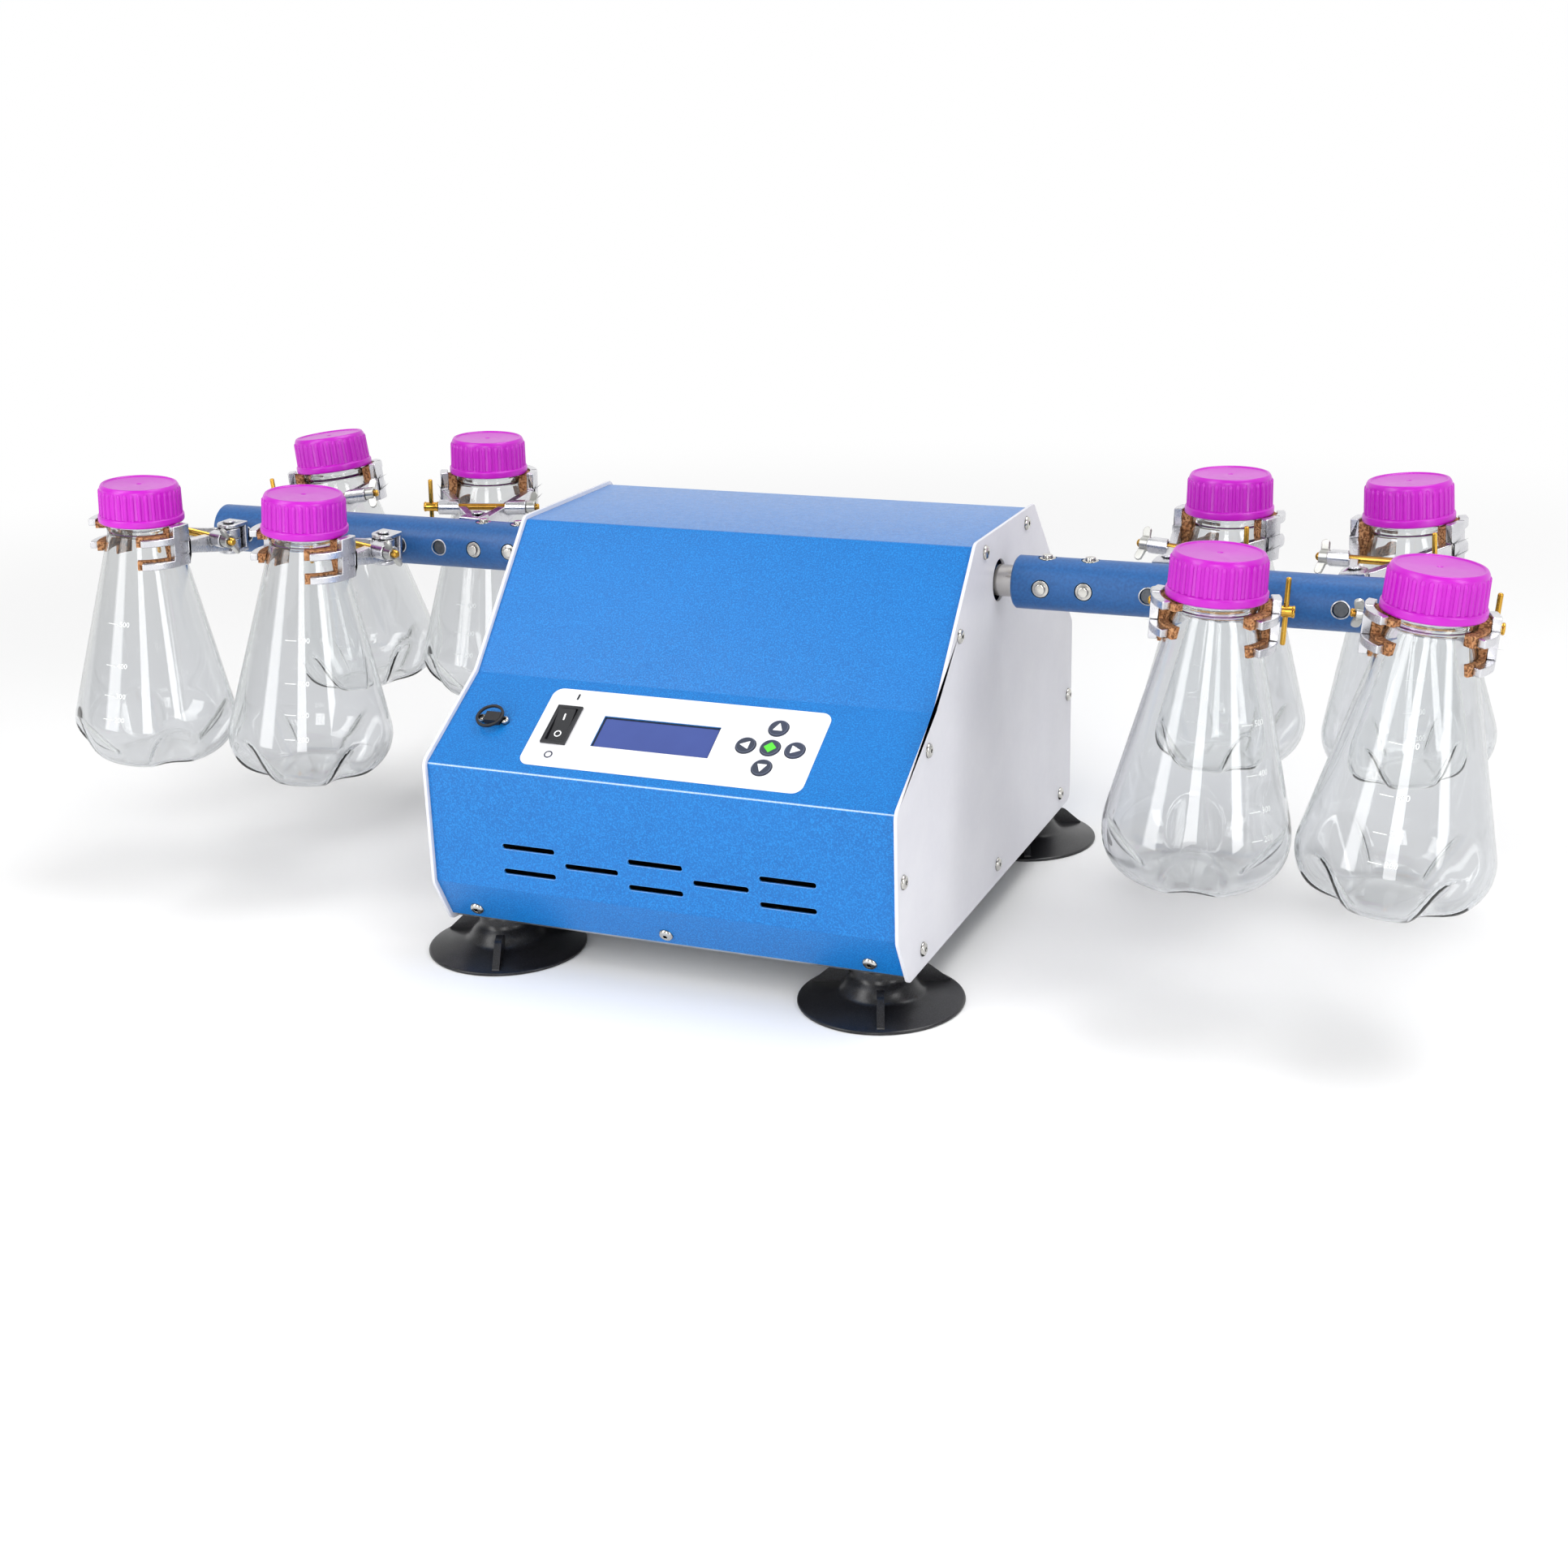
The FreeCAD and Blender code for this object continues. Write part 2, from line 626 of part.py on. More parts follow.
def suction_foot(x, y):
    """Rubber suction cup with a domed neck, three release tabs and a stud into the pan."""
    top = BASE_HEIGHT + COVER_LIFT
    profile = [
        (0, FOOT_CUP_DEPTH),
        (FOOT_RADIUS * 0.55, FOOT_CUP_DEPTH * 0.8),
        (FOOT_RADIUS - 3, 0),
        (FOOT_RADIUS, 0),
        (FOOT_RADIUS, FOOT_RIM),
        (FOOT_RADIUS * 0.62, FOOT_CUP_DEPTH + FOOT_RIM),
        (FOOT_NECK_RADIUS + 7, FOOT_CUP_DEPTH + FOOT_RIM + 1.6),
        (FOOT_NECK_RADIUS + 3, FOOT_CUP_DEPTH + FOOT_RIM + 3.6),
        (FOOT_NECK_RADIUS + 0.8, FOOT_CUP_DEPTH + FOOT_RIM + 6.4),
        (FOOT_NECK_RADIUS, FOOT_CUP_DEPTH + FOOT_RIM + 9.6),
        (FOOT_NECK_RADIUS, top),
        (FOOT_STUD_RADIUS, top),
        (FOOT_STUD_RADIUS, top + PAN_SHEET),
        (0, top + PAN_SHEET),
    ]
    pieces = [turned(profile)]
    inner_low = FOOT_CUP_DEPTH + FOOT_RIM
    for i in range(FOOT_TAB_COUNT):
        corners = [
            V(FOOT_TAB_INNER, -FOOT_TAB_WIDTH / 2.0, inner_low - 1),
            V(FOOT_TAB_INNER, -FOOT_TAB_WIDTH / 2.0, FOOT_TAB_HEIGHT + 3),
            V(FOOT_TAB_INNER + 8, -FOOT_TAB_WIDTH / 2.0, FOOT_TAB_HEIGHT + 2),
            V(FOOT_RADIUS - 3, -FOOT_TAB_WIDTH / 2.0, FOOT_RIM + 1.5),
            V(FOOT_RADIUS - 3, -FOOT_TAB_WIDTH / 2.0, FOOT_RIM / 2),
        ]
        tab = prism(corners, V(0, FOOT_TAB_WIDTH, 0))
        tab.rotate(V(0, 0, 0), Z_AXIS, FOOT_TAB_START + i * 360.0 / FOOT_TAB_COUNT)
        pieces.append(tab)
    foot = fuse(pieces)
    foot.translate(V(x, y, 0))
    return foot


def control_overlay():
    """Thin label plate with openings for window, switch and keys."""
    low = PRESS_SEAT
    plate = console_plate(0, OVERLAY_RUN, OVERLAY_WIDTH, OVERLAY_HEIGHT, low, OVERLAY_THICKNESS, OVERLAY_CORNER)
    cuts = [
        console_plate(WINDOW_X, WINDOW_RUN, WINDOW_WIDTH, WINDOW_HEIGHT, -1, 2),
        console_plate(SWITCH_X, SWITCH_RUN, SWITCH_WIDTH - SWITCH_WALL, SWITCH_HEIGHT - SWITCH_WALL, -1, 2),
    ]
    cuts += [console_disc(*key_place(name), KEY_RADIUS + KEY_GAP, -1, 2) for name in KEYS]
    return plate.cut(cuts)


def display_window():
    """Clear window over the character display, with the display module behind it."""
    gap = SLIDE_FIT
    window = console_plate(
        WINDOW_X, WINDOW_RUN, WINDOW_WIDTH - gap, WINDOW_HEIGHT - gap, -SHEET, WINDOW_PANE - SHEET,
    )
    module = console_plate(
        WINDOW_X, WINDOW_RUN, WINDOW_WIDTH + 2 * DISPLAY_MARGIN, WINDOW_HEIGHT + 2 * DISPLAY_MARGIN,
        -SHEET - DISPLAY_DEPTH, -SHEET - PRESS_SEAT,
    )
    return [window, module]


def key(name):
    """Round push key with a stem through the cover."""
    x, run = key_place(name)
    cap = console_disc(x, run, KEY_RADIUS, -SHEET, OVERLAY_THICKNESS + KEY_PROUD)
    stem = console_disc(x, run, KEY_RADIUS / 2.5, -SHEET - KEY_STEM, -SHEET)
    return fuse([cap, stem])


def switch_body():
    """Rocker switch frame: bezel on the overlay and an open-fronted body behind it."""
    low = OVERLAY_THICKNESS + PRESS_SEAT
    bezel = console_plate(SWITCH_X, SWITCH_RUN, SWITCH_WIDTH, SWITCH_HEIGHT, low, low + SWITCH_BEZEL)
    width = SWITCH_WIDTH - SWITCH_WALL - SLIDE_FIT
    height = SWITCH_HEIGHT - SWITCH_WALL - SLIDE_FIT
    body = console_plate(SWITCH_X, SWITCH_RUN, width, height, -SWITCH_BODY_DEPTH, low)
    room = console_plate(
        SWITCH_X, SWITCH_RUN, width - SWITCH_WALL, height - SWITCH_WALL, -ROCKER_DEPTH - 4, low + SWITCH_BEZEL + 1,
    )
    return fuse([bezel, body]).cut(room)


def rocker_pivot():
    """Point on the rocker's hinge axis."""
    return console_point(SWITCH_X, SWITCH_RUN, -ROCKER_DEPTH / 2.0)


def switch_rocker():
    """Rocker with two finger faces that meet in a shallow valley, resting on its lower side."""
    width = SWITCH_WIDTH - 2 * SWITCH_WALL - SLIDE_FIT - 0.8
    half = (SWITCH_HEIGHT - 2 * SWITCH_WALL - SLIDE_FIT) / 2.0 - 0.6
    top = OVERLAY_THICKNESS + SWITCH_BEZEL
    x = SWITCH_X - width / 2.0
    profile = [(-half, top - 0.2), (0, top - 1.0), (half, top - 0.2), (half - 4, -ROCKER_DEPTH), (4 - half, -ROCKER_DEPTH)]
    corners = [console_point(x, SWITCH_RUN + run, level) for run, level in profile]
    rocker = prism(corners, V(width, 0, 0))
    rocker.rotate(rocker_pivot(), X_AXIS, ROCKER_TILT)
    return rocker


def data_port():
    """Small rectangular connector shell with its two jack screws."""
    shell = console_plate(
        PORT_X, PORT_RUN, PORT_WIDTH - SLIDE_FIT, PORT_HEIGHT - SLIDE_FIT, -PORT_DEPTH, PORT_PROUD,
    )
    mouth = console_plate(PORT_X, PORT_RUN, PORT_WIDTH - 2.4, PORT_HEIGHT - 2.2, -PORT_DEPTH + 2, PORT_PROUD + 1)
    back = console_plate(PORT_X, PORT_RUN, PORT_WIDTH + 14, PORT_HEIGHT + 5, -PORT_DEPTH - 1.5, -PORT_DEPTH)
    pieces = [fuse([shell.cut(mouth), back])]
    for side in (-1, 1):
        x = PORT_X + side * JACK_SPREAD
        head = console_disc(x, PORT_RUN, JACK_RADIUS, PRESS_SEAT, JACK_HEIGHT)
        pillar = console_disc(x, PORT_RUN, JACK_RADIUS / 2.0 - 0.1, -PORT_DEPTH, PRESS_SEAT)
        pieces.append(fuse([head, pillar]))
    return pieces


def port_cap():
    """Rubber dust cap over the connector with its tether loop."""
    low = SOFT_GAP
    block = console_plate(PORT_X, PORT_RUN, CAP_WIDTH - 1.2, CAP_HEIGHT, low, CAP_PROUD)
    hollow = console_plate(
        PORT_X, PORT_RUN, PORT_WIDTH + 0.2, PORT_HEIGHT + 0.2, low - 1, PORT_PROUD + SOFT_GAP,
    )
    centre = console_point(PORT_X - 1.6, PORT_RUN, JACK_HEIGHT + SOFT_GAP)
    normal = console_normal()
    ring = Part.makeCylinder(LOOP_RADIUS, LOOP_WIRE, centre, normal)
    hole = Part.makeCylinder(LOOP_RADIUS - LOOP_WIRE, LOOP_WIRE + 2, centre - normal, normal)
    bridge = console_plate(PORT_X + 4, PORT_RUN, CAP_WIDTH / 2.0, 3.0, JACK_HEIGHT + SOFT_GAP, CAP_PROUD)
    return fuse([block.cut(hollow), ring.cut(hole), bridge])


def swing_shaft():
    """Ground steel shaft that carries both arms."""
    half = ARM_INNER_END + ARM_BORE_DEPTH - 4
    return rod(V(-half, 0, SHAFT_HEIGHT), X_AXIS, SHAFT_RADIUS, 2 * half)


def arm_screw_axes(side):
    """Seat directions and places of the four clamping screws of one arm."""
    places = []
    for offset in ARM_SCREW_OFFSETS:
        for direction in (V(0, -1, 0), Z_AXIS):
            places.append((V(side * (ARM_INNER_END + offset), 0, SHAFT_HEIGHT), direction))
    return places


def arm(side):
    """Round arm bar, bored for the shaft, with counterbored screw holes and clamp rod holes."""
    start = V(side * ARM_INNER_END, 0, SHAFT_HEIGHT)
    along = V(side, 0, 0)
    bar = rod(start, along, ARM_RADIUS, ARM_LENGTH)
    bar = bar.makeChamfer(ARM_CHAMFER, [e for e in bar.Edges if abs(e.Length - 2 * math.pi * ARM_RADIUS) < 0.1])
    cuts = [rod(start, along, SHAFT_RADIUS + PRESS_SEAT, ARM_BORE_DEPTH)]
    for place, direction in arm_screw_axes(side):
        cuts.append(rod(place, direction, ARM_SCREW_SHANK_RADIUS + PRESS_SEAT, ARM_RADIUS + 2))
        seat = place + direction * (ARM_RADIUS - COUNTERBORE_DEPTH)
        cuts.append(rod(seat, direction, ARM_SCREW_HEAD_RADIUS + COUNTERBORE_GAP, COUNTERBORE_DEPTH + 2))
    for station in STATIONS.values():
        x = station[0]
        if x * side > 0:
            cuts.append(rod(V(x, -ARM_RADIUS - 2, SHAFT_HEIGHT), Y_AXIS, ROD_RADIUS + ROD_HOLE_GAP, 2 * ARM_RADIUS + 4))
    return bar.cut(cuts)


def arm_screws():
    """Socket head screws that lock both arms on the shaft."""
    screws = []
    for side in (-1, 1):
        for place, direction in arm_screw_axes(side):
            seat = place + direction * (ARM_RADIUS - COUNTERBORE_DEPTH)
            head = rod(seat, direction, ARM_SCREW_HEAD_RADIUS, ARM_SCREW_HEAD_HEIGHT)
            shank = rod(place + direction * (SHAFT_RADIUS + PRESS_SEAT), direction, ARM_SCREW_SHANK_RADIUS,
                        ARM_RADIUS - COUNTERBORE_DEPTH - SHAFT_RADIUS)
            across = X_AXIS * (ARM_SCREW_KEY / math.sqrt(3))
            corners = []
            for i in range(6):
                turn = FreeCAD.Rotation(direction, 60.0 * i)
                corners.append(seat + direction * (ARM_SCREW_HEAD_HEIGHT - ARM_SCREW_RECESS) + turn.multVec(across))
            socket = prism(corners, direction * (ARM_SCREW_RECESS + 1))
            screws.append(fuse([head, shank]).cut(socket))
    return screws


def shaft_bearings():
    """Two flanged bearing units seated in the uprights."""
    units = []
    for side in (-1, 1):
        flange_at = V(side * BEARING_X, 0, SHAFT_HEIGHT)
        inward = V(-side, 0, 0)
        sleeve = rod(flange_at, inward, BEARING_RADIUS, BEARING_WIDTH)
        flange = rod(flange_at, inward, BEARING_FLANGE - 8, BEARING_FLANGE_THICKNESS)
        bore = rod(flange_at + inward * -1, inward, SHAFT_RADIUS + RUNNING_FIT, BEARING_WIDTH + 2)
        units.append(fuse([sleeve, flange]).cut(bore))
    return units


def rocker_lever():
    """Lever clamped on the shaft, its lower fork slot astride the crank's roller."""
    x0 = LEVER_X - LEVER_THICKNESS / 2.0
    slot_half = ROLLER_RADIUS + ROLLER_GAP
    tip = SHAFT_HEIGHT - CRANK_DROP - CRANK_THROW - ROLLER_RADIUS - SLOT_END_GAP - 8
    half = LEVER_WIDTH / 2.0
    hub = rod(V(x0, 0, SHAFT_HEIGHT), X_AXIS, LEVER_HUB_RADIUS, LEVER_THICKNESS)
    blade = box(x0, x0 + LEVER_THICKNESS, -half, half, tip, SHAFT_HEIGHT)
    slot_top = SHAFT_HEIGHT - CRANK_DROP + CRANK_THROW + ROLLER_RADIUS + SLOT_END_GAP
    slot = box(x0 - 1, x0 + LEVER_THICKNESS + 1, -slot_half, slot_half, tip - 1, slot_top)
    bore = rod(V(x0 - 1, 0, SHAFT_HEIGHT), X_AXIS, SHAFT_RADIUS + PRESS_SEAT, LEVER_THICKNESS + 2)
    return fuse([hub, blade]).cut([slot, bore])


def motor_plate_x():
    """Face of the motor plate that is away from the crank."""
    disc_face = LEVER_X - LEVER_THICKNESS / 2.0 - CRANK_AIR - CRANK_DISC_THICKNESS
    return disc_face - CRANK_AIR - MOTOR_PLATE


def crank():
    """Crank disc with its stub shaft and eccentric roller pin, at the bottom of its turn."""
    height = SHAFT_HEIGHT - CRANK_DROP
    disc_x = LEVER_X - LEVER_THICKNESS / 2.0 - CRANK_AIR - CRANK_DISC_THICKNESS
    disc = rod(V(disc_x, 0, height), X_AXIS, CRANK_DISC_RADIUS, CRANK_DISC_THICKNESS)
    stub = rod(V(disc_x - CRANK_SHAFT_LENGTH, 0, height), X_AXIS, CRANK_SHAFT_RADIUS, CRANK_SHAFT_LENGTH)
    face = disc_x + CRANK_DISC_THICKNESS
    pin_at = V(face, 0, height - CRANK_THROW)
    pin = rod(pin_at, X_AXIS, ROLLER_RADIUS * 0.6, CRANK_AIR)
    roller = rod(pin_at + X_AXIS * CRANK_AIR, X_AXIS, ROLLER_RADIUS, LEVER_THICKNESS)
    return fuse([disc, stub, pin, roller])


def drive_motor():
    """Gearmotor: gearbox bored for the crank's stub shaft, and the motor can behind it."""
    height = SHAFT_HEIGHT - CRANK_DROP
    face = motor_plate_x()
    half = GEARBOX_SIZE / 2.0 - 2
    gearbox = box(face - GEARBOX_LENGTH, face - PRESS_SEAT, -half, half, height - half, height + half)
    can = rod(V(face - GEARBOX_LENGTH - MOTOR_LENGTH, 0, height), X_AXIS, MOTOR_RADIUS, MOTOR_LENGTH)
    bore = rod(V(face - CRANK_SHAFT_LENGTH, 0, height), X_AXIS, CRANK_SHAFT_RADIUS + RUNNING_FIT, CRANK_SHAFT_LENGTH + 1)
    return fuse([gearbox, can]).cut(bore)


def control_board():
    """Circuit board behind the console with key switches, pillars and components."""
    level = -SHEET - BOARD_DROP
    board = console_plate(0, OVERLAY_RUN, BOARD_WIDTH, BOARD_HEIGHT, level - BOARD_THICKNESS, level)
    room = console_plate(SWITCH_X, SWITCH_RUN, SWITCH_WIDTH + 4, SWITCH_HEIGHT + 2, level - 3, level + 1)
    pieces = [board.cut(room)]
    key_back = -SHEET - KEY_STEM - KEY_TRAVEL - 0.2
    for name in KEYS:
        pieces.append(console_disc(*key_place(name), KEY_RADIUS / 2.0, level, key_back))
    pillar_run = BOARD_HEIGHT / 2.0 - 4
    for sx in (-1, 1):
        for sr in (-1, 1):
            x = sx * (BOARD_WIDTH / 2.0 - 4)
            pieces.append(console_disc(x, OVERLAY_RUN + sr * pillar_run, 2.5, level, -SHEET))
    pieces.append(console_plate(10, OVERLAY_RUN, 40, 14, level - BOARD_THICKNESS - 9, level - BOARD_THICKNESS))
    return fuse(pieces)


def power_inlet():
    """Three-pole mains inlet with its flange on the rear of the cover."""
    rear = COVER_OUTLINE[-1][0]
    flange = box(
        INLET_X - INLET_WIDTH / 2.0, INLET_X + INLET_WIDTH / 2.0, rear + PRESS_SEAT, rear + INLET_FLANGE,
        INLET_Z - INLET_HEIGHT / 2.0, INLET_Z + INLET_HEIGHT / 2.0,
    )
    body = box(
        INLET_X - INLET_WIDTH / 2.0 + 8.2, INLET_X + INLET_WIDTH / 2.0 - 8.2, rear - INLET_DEPTH, rear + 1,
        INLET_Z - INLET_HEIGHT / 2.0 + 1.7, INLET_Z + INLET_HEIGHT / 2.0 - 1.7,
    )
    half_w = INLET_SOCKET_WIDTH / 2.0
    half_h = INLET_SOCKET_HEIGHT / 2.0
    mouth_y = rear + INLET_FLANGE + 1
    outline = [
        V(INLET_X - half_w, mouth_y, INLET_Z - half_h),
        V(INLET_X + half_w, mouth_y, INLET_Z - half_h),
        V(INLET_X + half_w, mouth_y, INLET_Z + half_h - 5),
        V(INLET_X + half_w - 5, mouth_y, INLET_Z + half_h),
        V(INLET_X - half_w + 5, mouth_y, INLET_Z + half_h),
        V(INLET_X - half_w, mouth_y, INLET_Z + half_h - 5),
    ]
    socket = prism(outline, V(0, -INLET_SOCKET_DEPTH - INLET_FLANGE - 1, 0))
    shell = fuse([flange, body]).cut(socket)
    pins = []
    for dx, dz in ((-7, -2), (0, 2.5), (7, -2)):
        y0 = rear - INLET_SOCKET_DEPTH - 1
        pins.append(box(INLET_X + dx - 1, INLET_X + dx + 1, y0, rear - 3, INLET_Z + dz - 2, INLET_Z + dz + 2))
    return fuse([shell] + pins)


def sector(inner, outer, low, high, start, stop):
    """Block bent round Z between two radii, two heights and two angles from +X."""
    ring = turned([(inner, low), (outer, low), (outer, high), (inner, high)], stop - start)
    ring.rotate(V(0, 0, 0), Z_AXIS, start)
    return ring


def flask_profile(wall):
    """Radii and levels of the flask's side from its corner arc up, moved inwards by a wall."""
    tilt = math.radians(FLASK_CONE_ANGLE)
    normal = (math.cos(tilt), math.sin(tilt))
    line = normal[0] * FLASK_CONE_RADIUS + normal[1] * FLASK_CONE_TOP - wall
    corner_z = -FLASK_HEIGHT + FLASK_CORNER
    corner_r = (line + wall - FLASK_CORNER - normal[1] * corner_z) / normal[0]
    radius = FLASK_CORNER - wall
    tangent = (corner_r + radius * normal[0], corner_z + radius * normal[1])
    shoulder = (line - normal[1] * FLASK_CONE_TOP) / normal[0]
    middle = math.radians(-45 + FLASK_CONE_ANGLE / 2.0)
    bend = (corner_r + radius * math.cos(middle), corner_z + radius * math.sin(middle))
    return (corner_r, corner_z - radius), bend, tangent, (shoulder, FLASK_CONE_TOP)


def flask_body(wall):
    """Turned flask outline filled solid, moved inwards by a wall, without its baffles."""
    base, bend, tangent, shoulder = flask_profile(wall)
    top = FLASK_MOUTH_TOP + (1.0 if wall else 0.0)
    points = [
        tangent,
        shoulder,
        (FLASK_BEAD_RADIUS - 1.3 - wall, FLASK_BEAD_BOTTOM - 2.4),
        (FLASK_BEAD_RADIUS - wall, FLASK_BEAD_BOTTOM),
        (FLASK_BEAD_RADIUS - wall, FLASK_BEAD_TOP),
        (FLASK_MOUTH_RADIUS - wall, FLASK_BEAD_TOP),
        (FLASK_MOUTH_RADIUS - wall, top),
        (0, top),
        (0, base[1]),
        base,
    ]
    if wall:
        points[2:6] = []
    corners = [V(r, 0, z) for r, z in points]
    edges = [Part.LineSegment(a, b).toShape() for a, b in zip(corners, corners[1:])]
    edges.append(Part.Arc(corners[-1], V(bend[0], 0, bend[1]), corners[0]).toShape())
    return Part.Face(Part.Wire(edges)).revolve(V(0, 0, 0), Z_AXIS, 360)


def baffle_tools(wall):
    """Slanted cylinders whose sides press the baffles into the flask's lower corner."""
    base, bend, tangent, shoulder = flask_profile(0.0)
    slope = math.radians(45 + FLASK_CONE_ANGLE / 2.0)
    along = V(math.cos(slope), 0, math.sin(slope))
    outward = V(math.sin(slope), 0, -math.cos(slope))
    centre = V(bend[0], 0, bend[1]) + outward * (BAFFLE_RADIUS - BAFFLE_DEPTH)
    tools = []
    for i in range(BAFFLE_COUNT):
        tool = rod(centre - along * FLASK_CORNER * 2, along, BAFFLE_RADIUS + wall, FLASK_CORNER * 4)
        tool.rotate(V(0, 0, 0), Z_AXIS, (i + 0.5) * 360.0 / BAFFLE_COUNT)
        tools.append(tool)
    return tools


def flask():
    """Baffled conical flask as a glass shell, in the clamp's own frame."""
    outer = flask_body(0.0).cut(baffle_tools(0.0))
    inner = flask_body(FLASK_WALL).cut(baffle_tools(FLASK_WALL))
    glass = outer.cut(inner)
    glass.translate(V(0, -NECK_REACH, SKIRT_LEVEL))
    return glass


def screw_cap():
    """Ribbed screw cap with a plain skirt ring, hollow over the flask's mouth."""
    points = []
    for i in range(2 * CAP_RIBS):
        radius = CAP_RIB_RADIUS if i % 2 else CAP_ROOT_RADIUS
        turn = math.pi * i / CAP_RIBS
        points.append(V(radius * math.cos(turn), radius * math.sin(turn), CAP_SKIRT_HEIGHT))
    ribs = prism(points, V(0, 0, CAP_TOP - CAP_SKIRT_HEIGHT))
    skirt = turned([(0, 0), (CAP_SKIRT_RADIUS, 0), (CAP_SKIRT_RADIUS, CAP_SKIRT_HEIGHT), (0, CAP_SKIRT_HEIGHT)])
    hollow = rod(V(0, 0, -1), Z_AXIS, FLASK_MOUTH_RADIUS + CAP_BORE_GAP, 1 + FLASK_MOUTH_TOP + SOFT_GAP)
    recess = rod(V(0, 0, CAP_TOP - CAP_RECESS), Z_AXIS, CAP_RECESS_RADIUS, CAP_RECESS + 1)
    cap = fuse([ribs, skirt]).cut([hollow, recess])
    cap.translate(V(0, -NECK_REACH, SKIRT_LEVEL))
    return cap


def cork_pad(bar, fingers):
    """Cork lining of the right-hand jaw: strips behind the bar and each finger, tapered to the flask's neck."""
    cone_level = FLASK_CONE_TOP + SKIRT_LEVEL
    bottom = min(bar[0], min(fingers)) - CORK_MARGIN
    top = SKIRT_LEVEL - CORK_SKIRT_GAP
    slope = math.tan(math.radians(FLASK_CONE_ANGLE))
    low_radius = FLASK_CONE_RADIUS + (cone_level - bottom) * slope + SOFT_GAP
    neck = max(FLASK_BEAD_RADIUS, FLASK_CONE_RADIUS) + SOFT_GAP
    profile = [(low_radius, bottom), (JAW_INNER_RADIUS, bottom), (JAW_INNER_RADIUS, top), (neck, top), (neck, cone_level)]
    start = FINGER_END - CORK_OVERHANG
    pad = turned(profile, JAW_BAR_BACK - start)
    pad.rotate(V(0, 0, 0), Z_AXIS, start)
    strips = [sector(0, 2 * JAW_INNER_RADIUS, bottom, top, JAW_BAR_FRONT - CORK_MARGIN, JAW_BAR_BACK)]
    for low in fingers:
        high = min(low + FINGER_HEIGHT + CORK_MARGIN, top)
        strips.append(sector(0, 2 * JAW_INNER_RADIUS, low - CORK_MARGIN, high, start, JAW_BAR_BACK))
    lining = pad.common(fuse(strips))
    lining.translate(V(0, -NECK_REACH, 0))
    return lining


